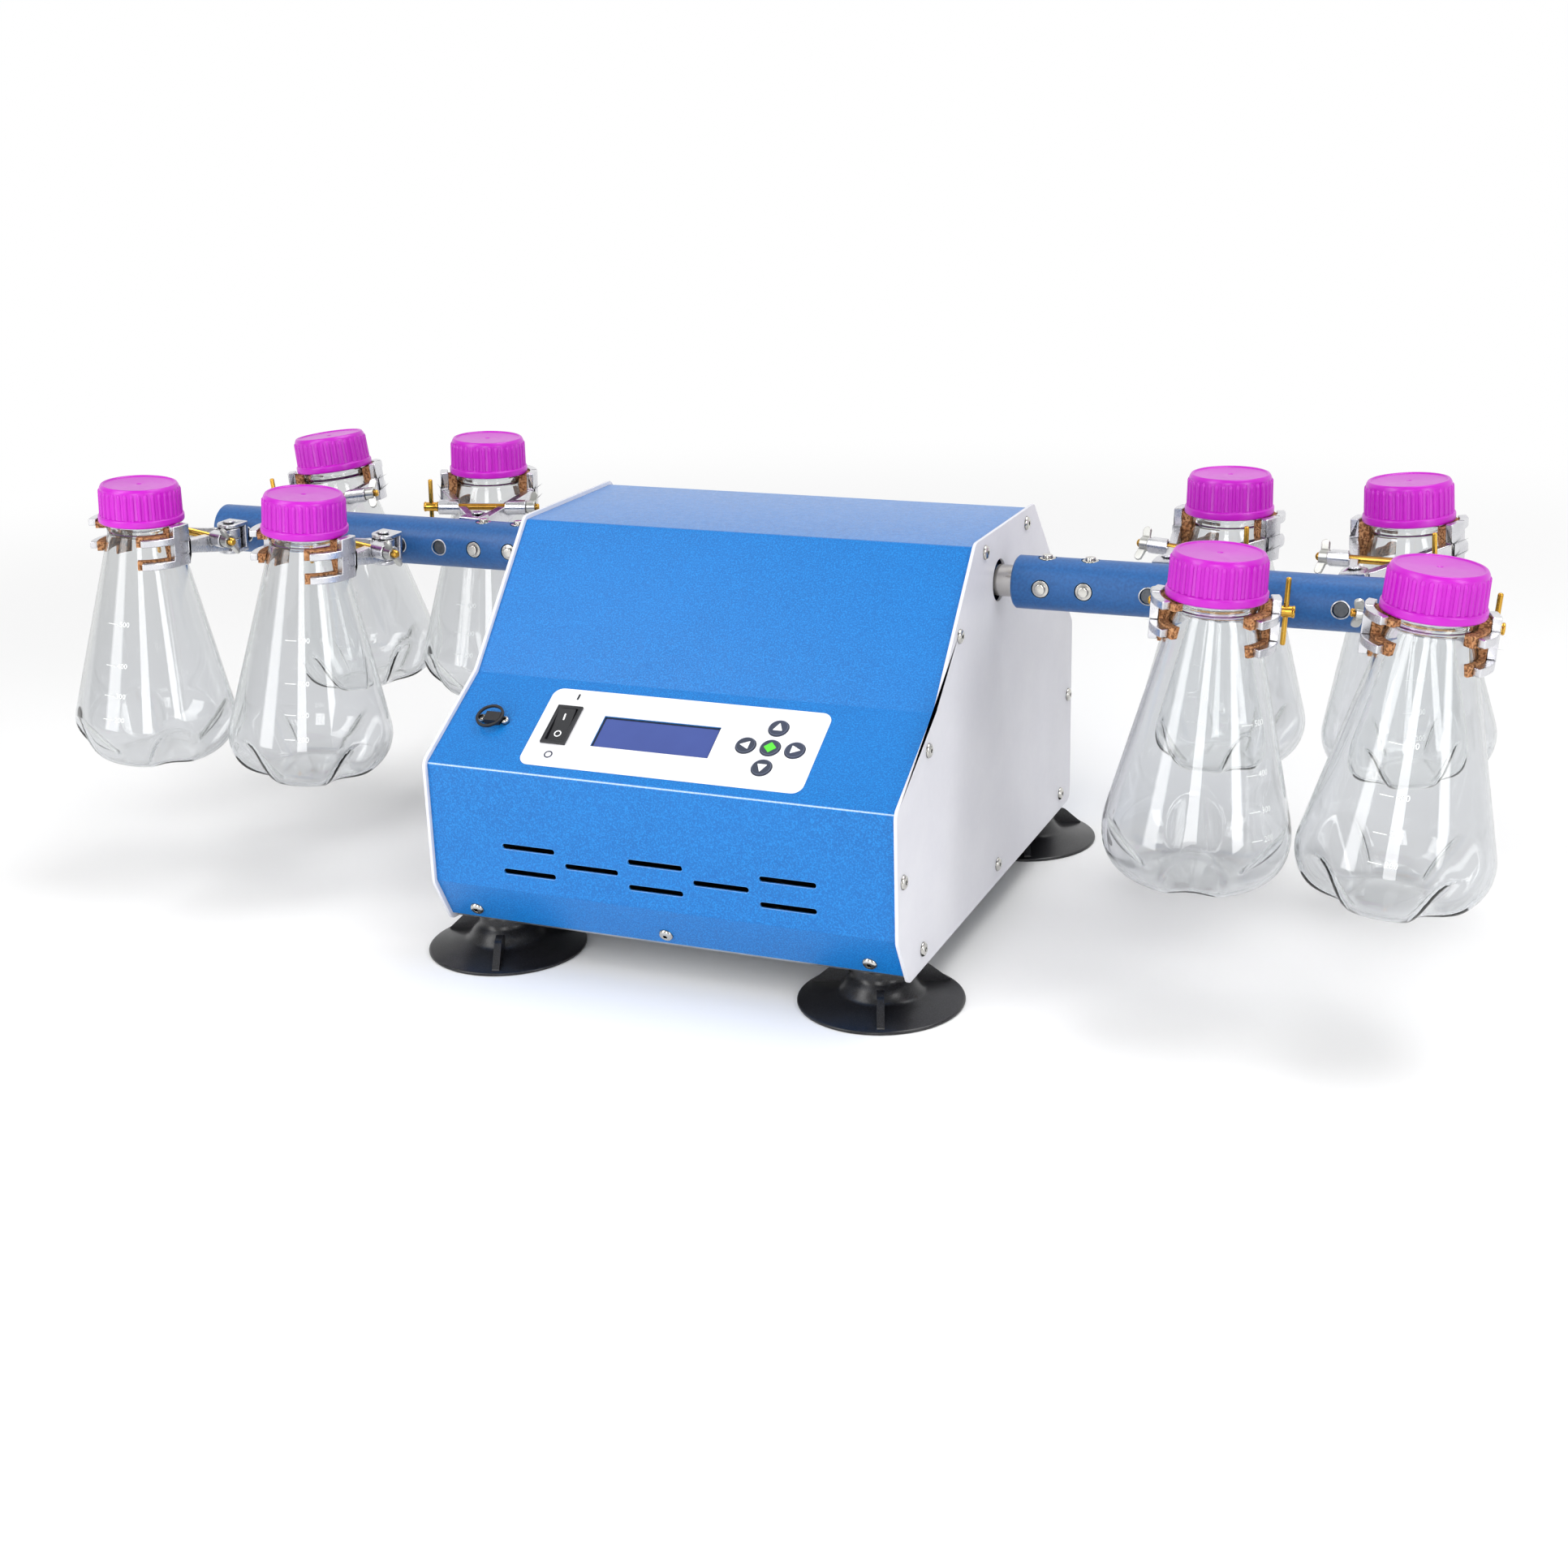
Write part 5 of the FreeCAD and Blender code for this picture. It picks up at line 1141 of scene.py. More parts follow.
@dataclass
class Housing:
    """Cover, end panels, case screws, feet, and the hidden frame and drive."""

    cover_round: float = 0.35
    panel_round: float = 0.35
    inlet_round: float = 0.3
    rows: ScrewRows = field(default_factory=ScrewRows)

    def build(self) -> None:
        """Build every piece of the housing."""
        clad("cover_skin", "cover", COVER_COAT, "housing", "cover_paint", self.cover_round, segments=2)
        for side in ("left", "right"):
            clad(f"{side}_end_panel", f"{side}_side_panel", PANEL_COAT, "housing", "panel_paint", self.panel_round,
                 segments=2)
        self.screws()
        self.feet()
        self.inner_works()

    def screws(self) -> None:
        """Button-head screws round the end panels and along the front strip."""
        head = ScrewHead(radius=4.4, height=2.0, socket=2.5, recess=1.3, shank=2.0, length=6.0, domed=True)
        piece = self.rows.build("case_button_screws", "case_screws", head.form(), PLATED_STEEL, head.radius * MM)
        settle(piece, "housing", "screw_steel", "case_screws")

    def feet(self) -> None:
        """Suction feet with a domed neck and three release tabs each."""
        source = merged("suction_feet")
        form = Form()
        for faces in solids(source):
            low, high = box_in((v.co for f in faces for v in f.verts), TO_METRES)
            foot = SuctionFoot(radius=(high.x - low.x) / 2, height=high.z)
            middle = Vector(((low.x + high.x) / 2, (low.y + high.y) / 2, 0)) * MM
            foot.add_to(form, Matrix.Translation(middle) @ TO_METRES)
        source.free()
        settle(form.finish("rubber_suction_feet", FOOT_RUBBER, crease=50), "housing", "foot_rubber", "suction_feet")

    def inner_works(self) -> None:
        """Finishes of the hidden frame and drive, and of the rear inlet."""
        dress(ZINC_SHEET, "chassis", "shaft_bearings")
        dress(GROUND_STEEL, "rocker_lever", "crank")
        dress(MOTOR_COAT, "drive_motor")
        dress(BOARD_RESIN, "control_board")
        clad("mains_inlet", "power_inlet", SWITCH_NYLON, "housing", "switch_black", self.inlet_round, segments=2)


@dataclass
class SuctionFoot:
    """Rubber suction cup, in millimetres from the bench."""

    radius: float
    height: float
    rim: float = 1.6
    neck: float = 16.5
    dome: float = 24.0
    cup: float = 5.0
    tab_width: float = 4.4
    tabs: int = 3
    first_tab: float = 50.0
    stud_radius: float = 4.0
    stud_height: float = 2.0

    def add_to(self, form: Form, place: Matrix) -> None:
        """Add one foot.

        Args:
            form: Form that takes it.
            place: Matrix from the foot's frame into the frame.
        """
        skirt = [
            (0.0, self.cup), (self.radius * 0.55, self.cup * 0.8), (self.radius - 4.0, 0.4), (self.radius - 2.6, 0.0),
            (self.radius - 0.5, 0.0), (self.radius, 0.5), (self.radius, self.rim), (self.radius - 0.8, self.rim + 0.5),
            (self.radius * 0.8, self.rim + 2.2), (self.dome + 5.0, self.cup + 1.3), (self.dome + 1.0, self.cup + 2.6),
            (self.dome - 1.2, self.cup + 5.0), (self.dome - 3.4, self.cup + 8.4), (self.neck + 0.8, self.cup + 11.6),
            (self.neck, self.cup + 13.4), (self.neck, self.height - self.stud_height),
            (self.stud_radius, self.height - self.stud_height), (self.stud_radius, self.height), (0.0, self.height),
        ]
        form.turned(softened(skirt, 3.0, 3, closed=False), place, steps=72)
        for i in range(self.tabs):
            turn = Matrix.Rotation(math.radians(self.first_tab + i * 360 / self.tabs), 4, "Z")
            lift = Matrix.Rotation(math.radians(90), 4, "X")
            side = [
                (self.neck + 2.0, self.cup + 1.0), (self.radius - 3.0, self.rim * 0.6),
                (self.radius - 3.0, self.rim + 1.6), (self.radius - 5.0, self.rim + 3.2),
                (self.neck + 15.5, self.cup + 10.5), (self.neck + 7.5, self.cup + 12.0),
                (self.neck + 2.0, self.cup + 8.5),
            ]
            form.plate(softened(side, 1.4, 3), -self.tab_width / 2, self.tab_width / 2, place @ turn @ lift)


# Console

class Arrow(Enum):
    """Direction of a key's arrow, as turns anticlockwise from pointing right, in degrees."""

    right_key = 0.0
    up_key = 90.0
    left_key = 180.0
    down_key = 270.0


@dataclass
class Console:
    """Label, display, keys, switch and connector on the sloping front."""

    print_lift: float = 0.04
    print_thickness: float = 0.12
    bar_shift: tuple[float, float] = (1.3, 23.3)
    bar_size: tuple[float, float] = (1.3, 4.6)
    ring_shift: tuple[float, float] = (0.7, -22.9)
    ring_size: tuple[float, float] = (2.7, 0.85)
    rocker_ring: tuple[float, float] = (2.3, 0.7)
    rocker_bar: tuple[float, float] = (1.0, 4.4)
    key_rim: float = 0.45
    key_line: float = 0.2
    label_round: float = 0.12
    key_round: float = 0.35
    switch_round: float = 0.4
    surround_width: float = 0.8
    film_play: float = 0.05
    film_drop: float = 0.3
    jack_base: float = 0.02
    arrow_size: float = 3.7
    square_size: float = 5.6
    place: Matrix = field(init=False)

    def __post_init__(self) -> None:
        """Find the console's frame from its keys: X across, Y up the slope, Z out of it."""
        up, down = (sum(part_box(n), Vector()) / 2 for n in ("up_key", "down_key"))
        along = (up - down).normalized()
        normal = X_AXIS.cross(along)
        self.place = frame_at(Vector(((up.x + down.x) / 2, up.y, up.z)), X_AXIS, along, normal)

    def build(self) -> None:
        """Build every piece of the console."""
        self.label()
        self.display()
        self.keys()
        self.switch()
        self.connector()

    def centre(self, node: str) -> Vector:
        """Middle of a node in the console's frame, at the level of its highest point."""
        low, high = node_box(node, self.place)
        return Vector(((low.x + high.x) / 2, (low.y + high.y) / 2, high.z))

    def marks(self, name: str, body: str, slot: str, finish: Finish, seat: Vector,
              outlines: Sequence[Sequence[Point]]) -> None:
        """Print flat marks.

        Args:
            name: Name of the piece.
            body: Body that carries the print.
            slot: Material slot of the record.
            finish: The ink.
            seat: Middle of the marks on the printed surface, in the console's frame.
            outlines: Outlines round that middle.
        """
        form = Form()
        for outline in outlines:
            form.plate(outline, self.print_lift, self.print_lift + self.print_thickness,
                       self.place @ Matrix.Translation(seat))
        settle(form.finish(name, finish), body, slot)

    def ring(self, name: str, body: str, slot: str, finish: Finish, place: Matrix, radius: float,
             width: float) -> None:
        """Print a ring.

        Args:
            name: Name of the piece.
            body: Body that carries the print.
            slot: Material slot of the record.
            finish: The ink.
            place: Matrix from the ring's frame into the frame.
            radius: Outer radius.
            width: Width of the line.
        """
        low, high = self.print_lift, self.print_lift + self.print_thickness
        form = Form()
        form.turned([(radius - width, low), (radius, low), (radius, high), (radius - width, high)], place,
                    steps=48, ring=True)
        settle(form.finish(name, finish), body, slot)

    def label(self) -> None:
        """White film with the ON bar and the OFF ring beside the switch."""
        clad("label_film", "control_overlay", LABEL_FILM, "housing", "overlay_film", self.label_round, segments=2)
        top = node_box("control_overlay", self.place)[1].z
        switch = self.centre("switch_body")
        seat = Vector((switch.x + self.bar_shift[0], switch.y + self.bar_shift[1], top))
        self.marks("on_bar", "housing", "overlay_film", BLACK_INK, seat, [rounded_box(*self.bar_size, 0.4)])
        seat = Vector((switch.x + self.ring_shift[0], switch.y + self.ring_shift[1], top))
        self.ring("off_ring", "housing", "overlay_film", GREY_INK, self.place @ Matrix.Translation(seat),
                  *self.ring_size)

    def display(self) -> None:
        """Blue display film, sunk behind the label, with its dark frame and the module behind."""
        source = merged("display_window")
        back = self.place.inverted()
        by_level = sorted(solids(source), key=lambda faces: -max((back @ v.co).z for f in faces for v in f.verts))
        pane, module = by_level[:2]
        low, high = box_in((v.co for f in pane for v in f.verts), self.place)
        form = Form()
        form.take(module)
        source.free()
        piece = form.finish("display_module", DISPLAY_FRAME, outward=False)
        settle(piece, "housing", "display_glass", "display_window")
        centre = ((low.x + high.x) / 2, (low.y + high.y) / 2)
        width, height = high.x - low.x, high.y - low.y
        margin = 2 * self.surround_width
        outer = rounded_box(width, height, 0.6, centre)
        inner = rounded_box(width - margin, height - margin, 0.4, centre)
        rings = ((outer, high.z), (inner, high.z), (inner, low.z), (outer, low.z))
        points = [(x, y, level) for ring, level in rings for x, y in ring]
        form = Form()
        form.add(points, bands(4, len(outer), closed=True), self.place)
        settle(form.finish("display_surround", DISPLAY_FRAME), "housing", "display_glass")
        margin += 2 * self.film_play
        form = Form()
        outline = rounded_box(width - margin, height - margin, 0.4, centre)
        form.plate(outline, low.z, high.z - self.film_drop, self.place)
        settle(form.finish("display_film", DISPLAY_FILM, crease=30), "housing", "display_glass")

    def keys(self) -> None:
        """Five round keys with their printed symbols."""
        for name in [arrow.name for arrow in Arrow] + ["enter_key"]:
            slot = "key_green" if name == "enter_key" else "key_dark"
            clad(name + "_cap", name, KEY_PLASTIC, name, slot, self.key_round)
            top = self.centre(name)
            low, high = node_box(name, self.place)
            self.ring(name + "_ring", name, slot, KEY_RING_INK, self.place @ Matrix.Translation(top),
                      (high.x - low.x) / 2 - self.key_rim, self.key_line)
            if name == "enter_key":
                half = self.square_size / math.sqrt(2)
                corners = [(half, 0.0), (0.0, half), (-half, 0.0), (0.0, -half)]
                self.marks(name + "_square", name, slot, KEY_GREEN, top, [softened(corners, 0.5, 3)])
                continue
            turn = Matrix.Rotation(math.radians(Arrow[name].value), 2)
            corners = [turn @ Vector(arc((0, 0), self.arrow_size, a, a, 1)[0]) for a in (0, 125, 235)]
            self.marks(name + "_arrow", name, slot, KEY_MARK, top, [softened(corners, 0.6, 3)])

    def switch(self) -> None:
        """Rocker switch: frame on the label, and the rocker with its raised marks."""
        clad("switch_frame", "switch_body", SWITCH_NYLON, "housing", "switch_black", self.switch_round)
        clad("rocker", "switch_rocker", SWITCH_NYLON, "switch_rocker", "switch_black", self.switch_round)
        top_face, low_face = self.rocker_faces()
        form = Form()
        form.plate(rounded_box(*self.rocker_bar, 0.3), 0.0, self.print_thickness, top_face)
        settle(form.finish("rocker_on_bar", KEY_MARK), "switch_rocker", "switch_black")
        self.ring("rocker_off_ring", "switch_rocker", "switch_black", KEY_MARK, low_face, *self.rocker_ring)

    def rocker_faces(self) -> tuple[Matrix, Matrix]:
        """Find the rocker's two finger faces.

        Returns:
            Placements on the upper face and on the lower face.
        """
        source = merged("switch_rocker")
        back = self.place.inverted()
        out = (self.place.to_3x3() @ Z_AXIS).normalized()
        faces = sorted(source.faces, key=lambda f: -f.normal.dot(out) * f.calc_area())[:2]
        faces.sort(key=lambda f: -(back @ f.calc_center_median()).y)
        places = []
        for face in faces:
            normal = face.normal.copy()
            centre = face.calc_center_median() + normal * (self.print_lift * MM)
            places.append(frame_at(centre, X_AXIS, normal.cross(X_AXIS), normal))
        source.free()
        return places[0], places[1]

    def connector(self) -> None:
        """Connector shell, its two jack screws and the tethered dust cap."""
        source = merged("data_port")
        parts = solids(source)
        boxes = [box_in((v.co for f in faces for v in f.verts), self.place) for faces in parts]
        shell = max(range(len(parts)), key=lambda i: boxes[i][1].x - boxes[i][0].x)
        form = Form()
        form.take(parts[shell])
        settle(form.finish("port_shell", PORT_SHELL, outward=False), "housing", "port_metal", "data_port")
        jacks = Form()
        for i, (low, high) in enumerate(boxes):
            if i == shell:
                continue
            radius = (high.x - low.x) / 2
            seat = self.place @ Matrix.Translation(((low.x + high.x) / 2, (low.y + high.y) / 2, 0))
            top, base, stud = high.z, self.jack_base, radius / 2 - 0.1
            profile = [
                (0, low.z), (stud, low.z), (stud, base), (radius, base), (radius, top - 0.9),
                (radius * 0.8, top - 0.15), (radius * 0.45, top), (radius * 0.4, top - 1.0), (0, top - 1.1),
            ]
            jacks.turned(softened(profile, 0.25, 2, closed=False), seat, steps=40)
        source.free()
        settle(jacks.finish("jack_screws", PLATED_STEEL), "housing", "port_metal", "data_port")
        clad("port_dust_cap", "port_cap", CAP_RUBBER, "port_cap", "cap_rubber", self.key_round)


# Clamps and flasks

@dataclass(frozen=True)
class Station:
    """One clamp's frames, found from its joints."""

    name: str
    stem: Matrix
    grip: Matrix
    screw_side: int

    @classmethod
    def found(cls, name: str, joints: dict[str, dict]) -> "Station":
        """Find a station's frames.

        Args:
            name: Name of the station.
            joints: The frame's joints by name.

        Returns:
            The station.
        """
        hinge = joints[name + "_jaw_open"]
        slide = joints[name + "_screw_travel"]
        pivot = Vector(hinge["pos_m"])
        front = pivot.y < 0
        up = Vector(hinge["axis"]).normalized()
        if up.z < 0:
            up = -up
        across = Vector(slide["axis"]).normalized()
        if across.x * (1 if front else -1) < 0:
            across = -across
        stem_back = Y_AXIS if front else -Y_AXIS
        stem = frame_at(pivot, stem_back.cross(up), stem_back, up)
        grip = frame_at(pivot, across, up.cross(across), up)
        side = (1 if pivot.x > 0 else -1) * (1 if front else -1)
        return cls(name, stem, grip, side)


class Casting(Enum):
    """Solids of a clamp that get their own piece."""

    stem = "stem"
    jaw = "jaw"
    cork = "cork"
    pin = "pin"
    nut = "nut"


@dataclass
class Clamps:
    """Eight flask clamps: stem, jaws, cork, pin, wing nut and closing screw."""

    stations: Sequence[Station]
    neck_reach: float = 70.6
    cork_radius: float = 29.2
    edge_round: float = 0.7
    screw_reach: float = 29.0
    screw_level: float = 10.5
    boss_length: float = 10.0
    boss_radius: float = 3.4
    rod_start: float = 18.0
    thread_radius: float = 2.5
    thread_pitch: float = 1.0
    hidden_thread: float = 7.0
    thread_depth: float = 0.35
    bar_radius: float = 1.5
    pin_reach: float = 6.0
    stem_reach: float = 30.0
    nut_width: float = 14.0

    def build(self) -> None:
        """Build every clamp."""
        for station in self.stations:
            self.castings(station, station.name + "_clamp", "arms")
            self.castings(station, station.name + "_jaw", station.name + "_jaw")
            self.closing_screw(station)

    def kind(self, faces: Sequence[bmesh.types.BMFace], station: Station) -> Casting:
        """Tell which solid of a clamp some faces are.

        Args:
            faces: Faces of one solid.
            station: Station that it belongs to.

        Returns:
            Its kind.
        """
        points = [v.co for f in faces for v in f.verts]
        low, high = box_in(points, station.grip)
        back = station.grip.inverted()
        ring = [math.hypot((back @ p).x, (back @ p).y + self.neck_reach) for p in points]
        if max(high.x, -low.x, high.y) < self.pin_reach:
            return Casting.pin
        if high.y > self.stem_reach:
            return Casting.stem
        if max(ring) < self.cork_radius:
            return Casting.cork
        if high.x - low.x < self.nut_width:
            return Casting.nut
        return Casting.jaw

    def castings(self, station: Station, node: str, body: str) -> None:
        """Dress the solids of a clamp node, each in its own material.

        Args:
            station: Station of the clamp.
            node: CAD node.
            body: Body that it rides on.
        """
        looks = {
            Casting.stem: (CAST_ALUMINIUM, "clamp_metal", self.edge_round),
            Casting.jaw: (CAST_ALUMINIUM, "clamp_metal", self.edge_round),
            Casting.cork: (CORK, "clamp_metal", 0.3),
            Casting.pin: (BRASS, "brass", 0.3),
            Casting.nut: (ZINC_CAST, "screw_steel", 0.5),
        }
        source = merged(node)
        for faces in solids(source):
            kind = self.kind(faces, station)
            finish, slot, round_mm = looks[kind]
            form = Form()
            if kind is Casting.stem:
                back = station.stem.inverted()
                rod = [f for f in faces if (back @ f.calc_center_median()).y > self.rod_start]
                form.take(rod, 1)
                form.take([f for f in faces if f not in rod])
                bmesh.ops.remove_doubles(form.bm, verts=form.bm.verts, dist=WELD_MM * MM)
                piece = form.finish(f"{node}_stem", finish, ROD_STEEL, round_mm=round_mm, segments=3, outward=False)
            else:
                form.take(faces)
                piece = form.finish(f"{node}_{kind.value}", finish, round_mm=round_mm, segments=3, outward=False)
            settle(piece, body, slot, node)
        source.free()

    def closing_screw(self, station: Station) -> None:
        """Brass screw with its boss and the tommy bar through it.

        Args:
            station: Station of the clamp.
        """
        node = station.name + "_screw"
        low, high = node_box(node, station.grip)
        side = station.screw_side
        tail, head = (low.x, high.x) if side > 0 else (-high.x, -low.x)
        tail += self.hidden_thread
        bar = (high.z - low.z) / 2
        seat = Vector((0, -self.screw_reach, self.screw_level))
        turn = Matrix.Rotation(math.radians(90 * side), 4, "Y")
        along = station.grip @ Matrix.Translation(seat) @ turn
        form = Form()
        boss = head - self.boss_length
        root = self.thread_radius - self.thread_depth
        profile: list[tuple[float, float]] = [(0.0, tail), (root - 0.5, tail), (root, tail + 0.5)]
        crest, pitch = self.thread_radius, self.thread_pitch
        for i in range(int((boss - tail - 2.0) / pitch)):
            start = tail + 0.6 + i * pitch
            profile += [(crest, start + 0.35 * pitch), (crest, start + 0.5 * pitch), (root, start + 0.85 * pitch),
                        (root, start + pitch)]
        profile += [(crest, boss - 0.6), (crest, boss)]
        form.turned(profile + [(0.0, boss)], along, steps=24)
        wide = self.boss_radius
        waist = [(0.0, boss), (wide - 0.5, boss), (wide, boss + 0.5), (wide, boss + 1.2), (wide - 0.3, boss + 1.6),
                 (wide - 0.3, head - 1.6), (wide, head - 1.2), (wide, head - 0.5), (wide - 0.5, head), (0.0, head)]
        form.turned(softened(waist, 0.5, 3, closed=False), along, steps=40)
        middle = boss + self.boss_length / 2
        thin = self.bar_radius
        rod = [(0.0, -bar), (thin - 0.5, -bar), (thin, 0.6 - bar), (thin, bar - 0.6), (thin - 0.5, bar), (0.0, bar)]
        upright = station.grip @ Matrix.Translation(seat + Vector((side * middle, 0, 0)))
        form.turned(softened(rod, 0.5, 3, closed=False), upright, steps=24)
        settle(form.finish(node + "_brass", BRASS, crease=40), node, "brass", node)


@dataclass
class Flasks:
    """Eight baffled flasks with their caps, heights in millimetres from the lower edge of the cap's skirt."""

    stations: Sequence[Station]
    neck_reach: float = 70.6
    skirt_level: float = 26.4
    height: float = 159.0
    wall: float = 2.2
    mouth_radius: float = 20.5
    mouth_top: float = 21.6
    bead_radius: float = 22.5
    bead_top: float = -0.6
    bead_bottom: float = -5.0
    cone_top: float = -10.0
    cone_radius: float = 22.6
    cone_angle: float = 13.8
    corner: float = 26.0
    baffles: int = 4
    baffle_radius: float = 20.0
    baffle_depth: float = 9.5
    baffle_blend: float = 0.9
    turns: dict[str, float] = field(default_factory=lambda: {
        "right_front_inner": -40.6, "right_front_outer": -8.8, "right_rear_inner": 10.0, "right_rear_outer": 30.0,
        "left_front_inner": 35.1, "left_front_outer": 20.1, "left_rear_inner": -20.0, "left_rear_outer": 5.0,
    })
    punt: float = 1.2
    facets: int = 112
    scale: Sequence[tuple[str, float]] = (("200", -121.0), ("300", -106.0), ("400", -87.0), ("500", -61.0))
    tick_length: float = 7.0
    tick_height: float = 0.4
    number_size: float = 4.6
    print_side: tuple[float, float, float] = (0.4, -0.9, 0.0)
    print_low: float = 0.02
    print_high: float = 0.1
    tick_start: float = 1.2
    tick_steps: int = 8
    figure_half: float = 0.04

    def build(self) -> None:
        """Build every flask, its scale and its cap."""
        for station in self.stations:
            self.flask(station)
            self.printed(station)
        Caps(self.stations, self.neck_reach, self.skirt_level).build()

    def seat(self, station: Station) -> Matrix:
        """Matrix from a flask's frame into the frame."""
        turn = Matrix.Rotation(math.radians(self.turns[station.name]), 4, "Z")
        return station.grip @ Matrix.Translation((0, -self.neck_reach, self.skirt_level)) @ turn

    def on_cone(self, x: float, z: float, lift: float, middle: float) -> Vector:
        """Wrap a flat place round the flask's cone.

        Args:
            x: Length round the cone from the print's middle, to the right as it is read.
            z: Height.
            lift: Distance out of the glass.
            middle: Angle of the print's middle round the flask, in radians.

        Returns:
            The place in the flask's frame.
        """
        tilt = math.radians(self.cone_angle)
        radius = self.cone_radius + (self.cone_top - z) * math.tan(tilt)
        turn = middle + x / radius
        reach = radius + lift * math.cos(tilt)
        return Vector((reach * math.cos(turn), reach * math.sin(turn), z + lift * math.sin(tilt)))

    def printed(self, station: Station) -> None:
        """Print the scale's ticks and numbers on the side that faces the user.

        Args:
            station: Station that holds the flask.
        """
        place = self.seat(station)
        view = place.to_3x3().inverted() @ Vector(self.print_side)
        middle = round(math.atan2(view.y, view.x) / (math.pi / 2)) * math.pi / 2
        low, high = self.print_low, self.print_high
        count = self.tick_steps
        ends = [(0, 1, 2, 3), (4 * count + 3, 4 * count + 2, 4 * count + 1, 4 * count)]
        sides = [(a, d, c, b) for a, b, c, d in bands(count + 1, 4)]
        form = Form()
        for number, level in self.scale:
            top = level + self.tick_height
            points = []
            for i in range(count + 1):
                x = -self.tick_length * (self.tick_start - i / count)
                corners = ((level, low), (top, low), (top, high), (level, high))
                points += [self.on_cone(x, z, lift, middle) for z, lift in corners]
            form.add(points, ends + sides, place)
            flat, faces = self.figure(number)
            base = level - self.number_size * 0.25
            form.add([self.on_cone(p.x, base + p.y, high / 2 + p.z, middle) for p in flat], faces, place)
        settle(form.finish(station.name + "_scale", WHITE_ENAMEL, crease=50), "arms", "clear_glass")

    def figure(self, text: str) -> tuple[list[Vector], list[tuple[int, ...]]]:
        """Shape of a number, flat, a hair thick, from its lower left corner.

        Args:
            text: The number.

        Returns:
            Places in millimetres, and faces.
        """
        curve = bpy.data.curves.new("figure", "FONT")
        curve.body, curve.size, curve.extrude, curve.resolution_u = text, self.number_size, self.figure_half, 2
        carrier = linked("figure", curve)
        mesh = carrier.evaluated_get(bpy.context.evaluated_depsgraph_get()).to_mesh()
        points = [v.co.copy() for v in mesh.vertices]
        faces = [tuple(f.vertices) for f in mesh.polygons]
        bpy.data.objects.remove(carrier)
        bpy.data.curves.remove(curve)
        return points, faces

    def corner_centre(self) -> tuple[float, float]:
        """Radius and height of the middle of the rounding between the base and the cone."""
        tilt = math.radians(self.cone_angle)
        line = math.cos(tilt) * self.cone_radius + math.sin(tilt) * self.cone_top
        height = self.corner - self.height
        return (line - self.corner - math.sin(tilt) * height) / math.cos(tilt), height

    def skin(self, inset: float) -> list[tuple[float, float]]:
        """Profile of the flask's outer or inner skin, from the middle of the base up to the mouth.

        Args:
            inset: Distance inwards from the outer skin.

        Returns:
            Radius and height pairs.
        """
        corner_r, corner_z = self.corner_centre()
        radius = self.corner - inset
        floor = inset - self.height
        base = [(0.0, floor + self.punt), (corner_r * 0.5, floor + self.punt * 0.85)]
        base += [(corner_r * 0.8, floor + self.punt * 0.4), (corner_r * 0.93, floor + 0.12)]
        bend = arc((corner_r, corner_z), radius, -90, self.cone_angle, 18)
        thinner = inset / math.cos(math.radians(self.cone_angle))
        foot, top = Vector(bend[-1]), Vector((self.cone_radius - thinner, self.cone_top))
        cone = [tuple(foot.lerp(top, i / 16)) for i in range(1, 16)]
        side = base + bend + cone
        if inset:
            bore = self.mouth_radius - inset
            neck = [tuple(top), (bore, self.bead_bottom), (bore, self.mouth_top)]
            return side + softened([side[-1]] + neck, 5.0, 6, closed=False)[1:]
        neck = [
            tuple(top), (self.bead_radius - 1.5, self.bead_bottom - 1.6), (self.bead_radius, self.bead_bottom + 0.6),
            (self.bead_radius, self.bead_top - 0.8), (self.bead_radius - 1.0, self.bead_top),
            (self.mouth_radius, self.bead_top + 0.2), (self.mouth_radius, self.mouth_top - 0.8),
            (self.mouth_radius - 0.6, self.mouth_top),
        ]
        return side + softened([side[-1]] + neck, 1.6, 4, closed=False)[1:]

    def dent(self, point: Vector, inset: float) -> Vector:
        """Press a point of a skin in where a baffle lies.

        Args:
            point: Place on the turned skin.
            inset: Distance of that skin inwards from the outer one.

        Returns:
            The pressed place.
        """
        slope = math.radians(45 + self.cone_angle / 2)
        corner_r, corner_z = self.corner_centre()
        middle = math.radians(self.cone_angle / 2 - 45)
        bend = Vector((corner_r + self.corner * math.cos(middle), 0, corner_z + self.corner * math.sin(middle)))
        outward = Vector((math.sin(slope), 0, -math.cos(slope)))
        along = Vector((math.cos(slope), 0, math.sin(slope)))
        centre = bend + outward * (self.baffle_radius - self.baffle_depth)
        moved = point.copy()
        for i in range(self.baffles):
            turn = Matrix.Rotation(2 * math.pi * (i + 0.5) / self.baffles, 3, "Z")
            middle_line, axis = turn @ centre, turn @ along
            away = (moved - middle_line) - axis * (moved - middle_line).dot(axis)
            depth = self.baffle_radius + inset - away.length
            if away.length < 1e-6 or depth < -6 * self.baffle_blend:
                continue
            push = self.baffle_blend * math.log1p(math.exp(depth / self.baffle_blend))
            moved += away.normalized() * push
        return moved

    def flask(self, station: Station) -> None:
        """Blow one flask as a closed glass wall.

        Args:
            station: Station that holds it.
        """
        outer = self.skin(0.0)

        def press(point: Vector, number: int) -> Vector:
            """Press the baffles into the outer skin, or into the inner one after it."""
            return self.dent(point, 0.0 if number < len(outer) else self.wall)

        form = Form()
        form.turned(outer + self.skin(self.wall)[::-1], self.seat(station), steps=self.facets, bend=press)
        node = station.name + "_flask"
        settle(form.finish(node + "_glass", LAB_GLASS, crease=60), "arms", "clear_glass", node)


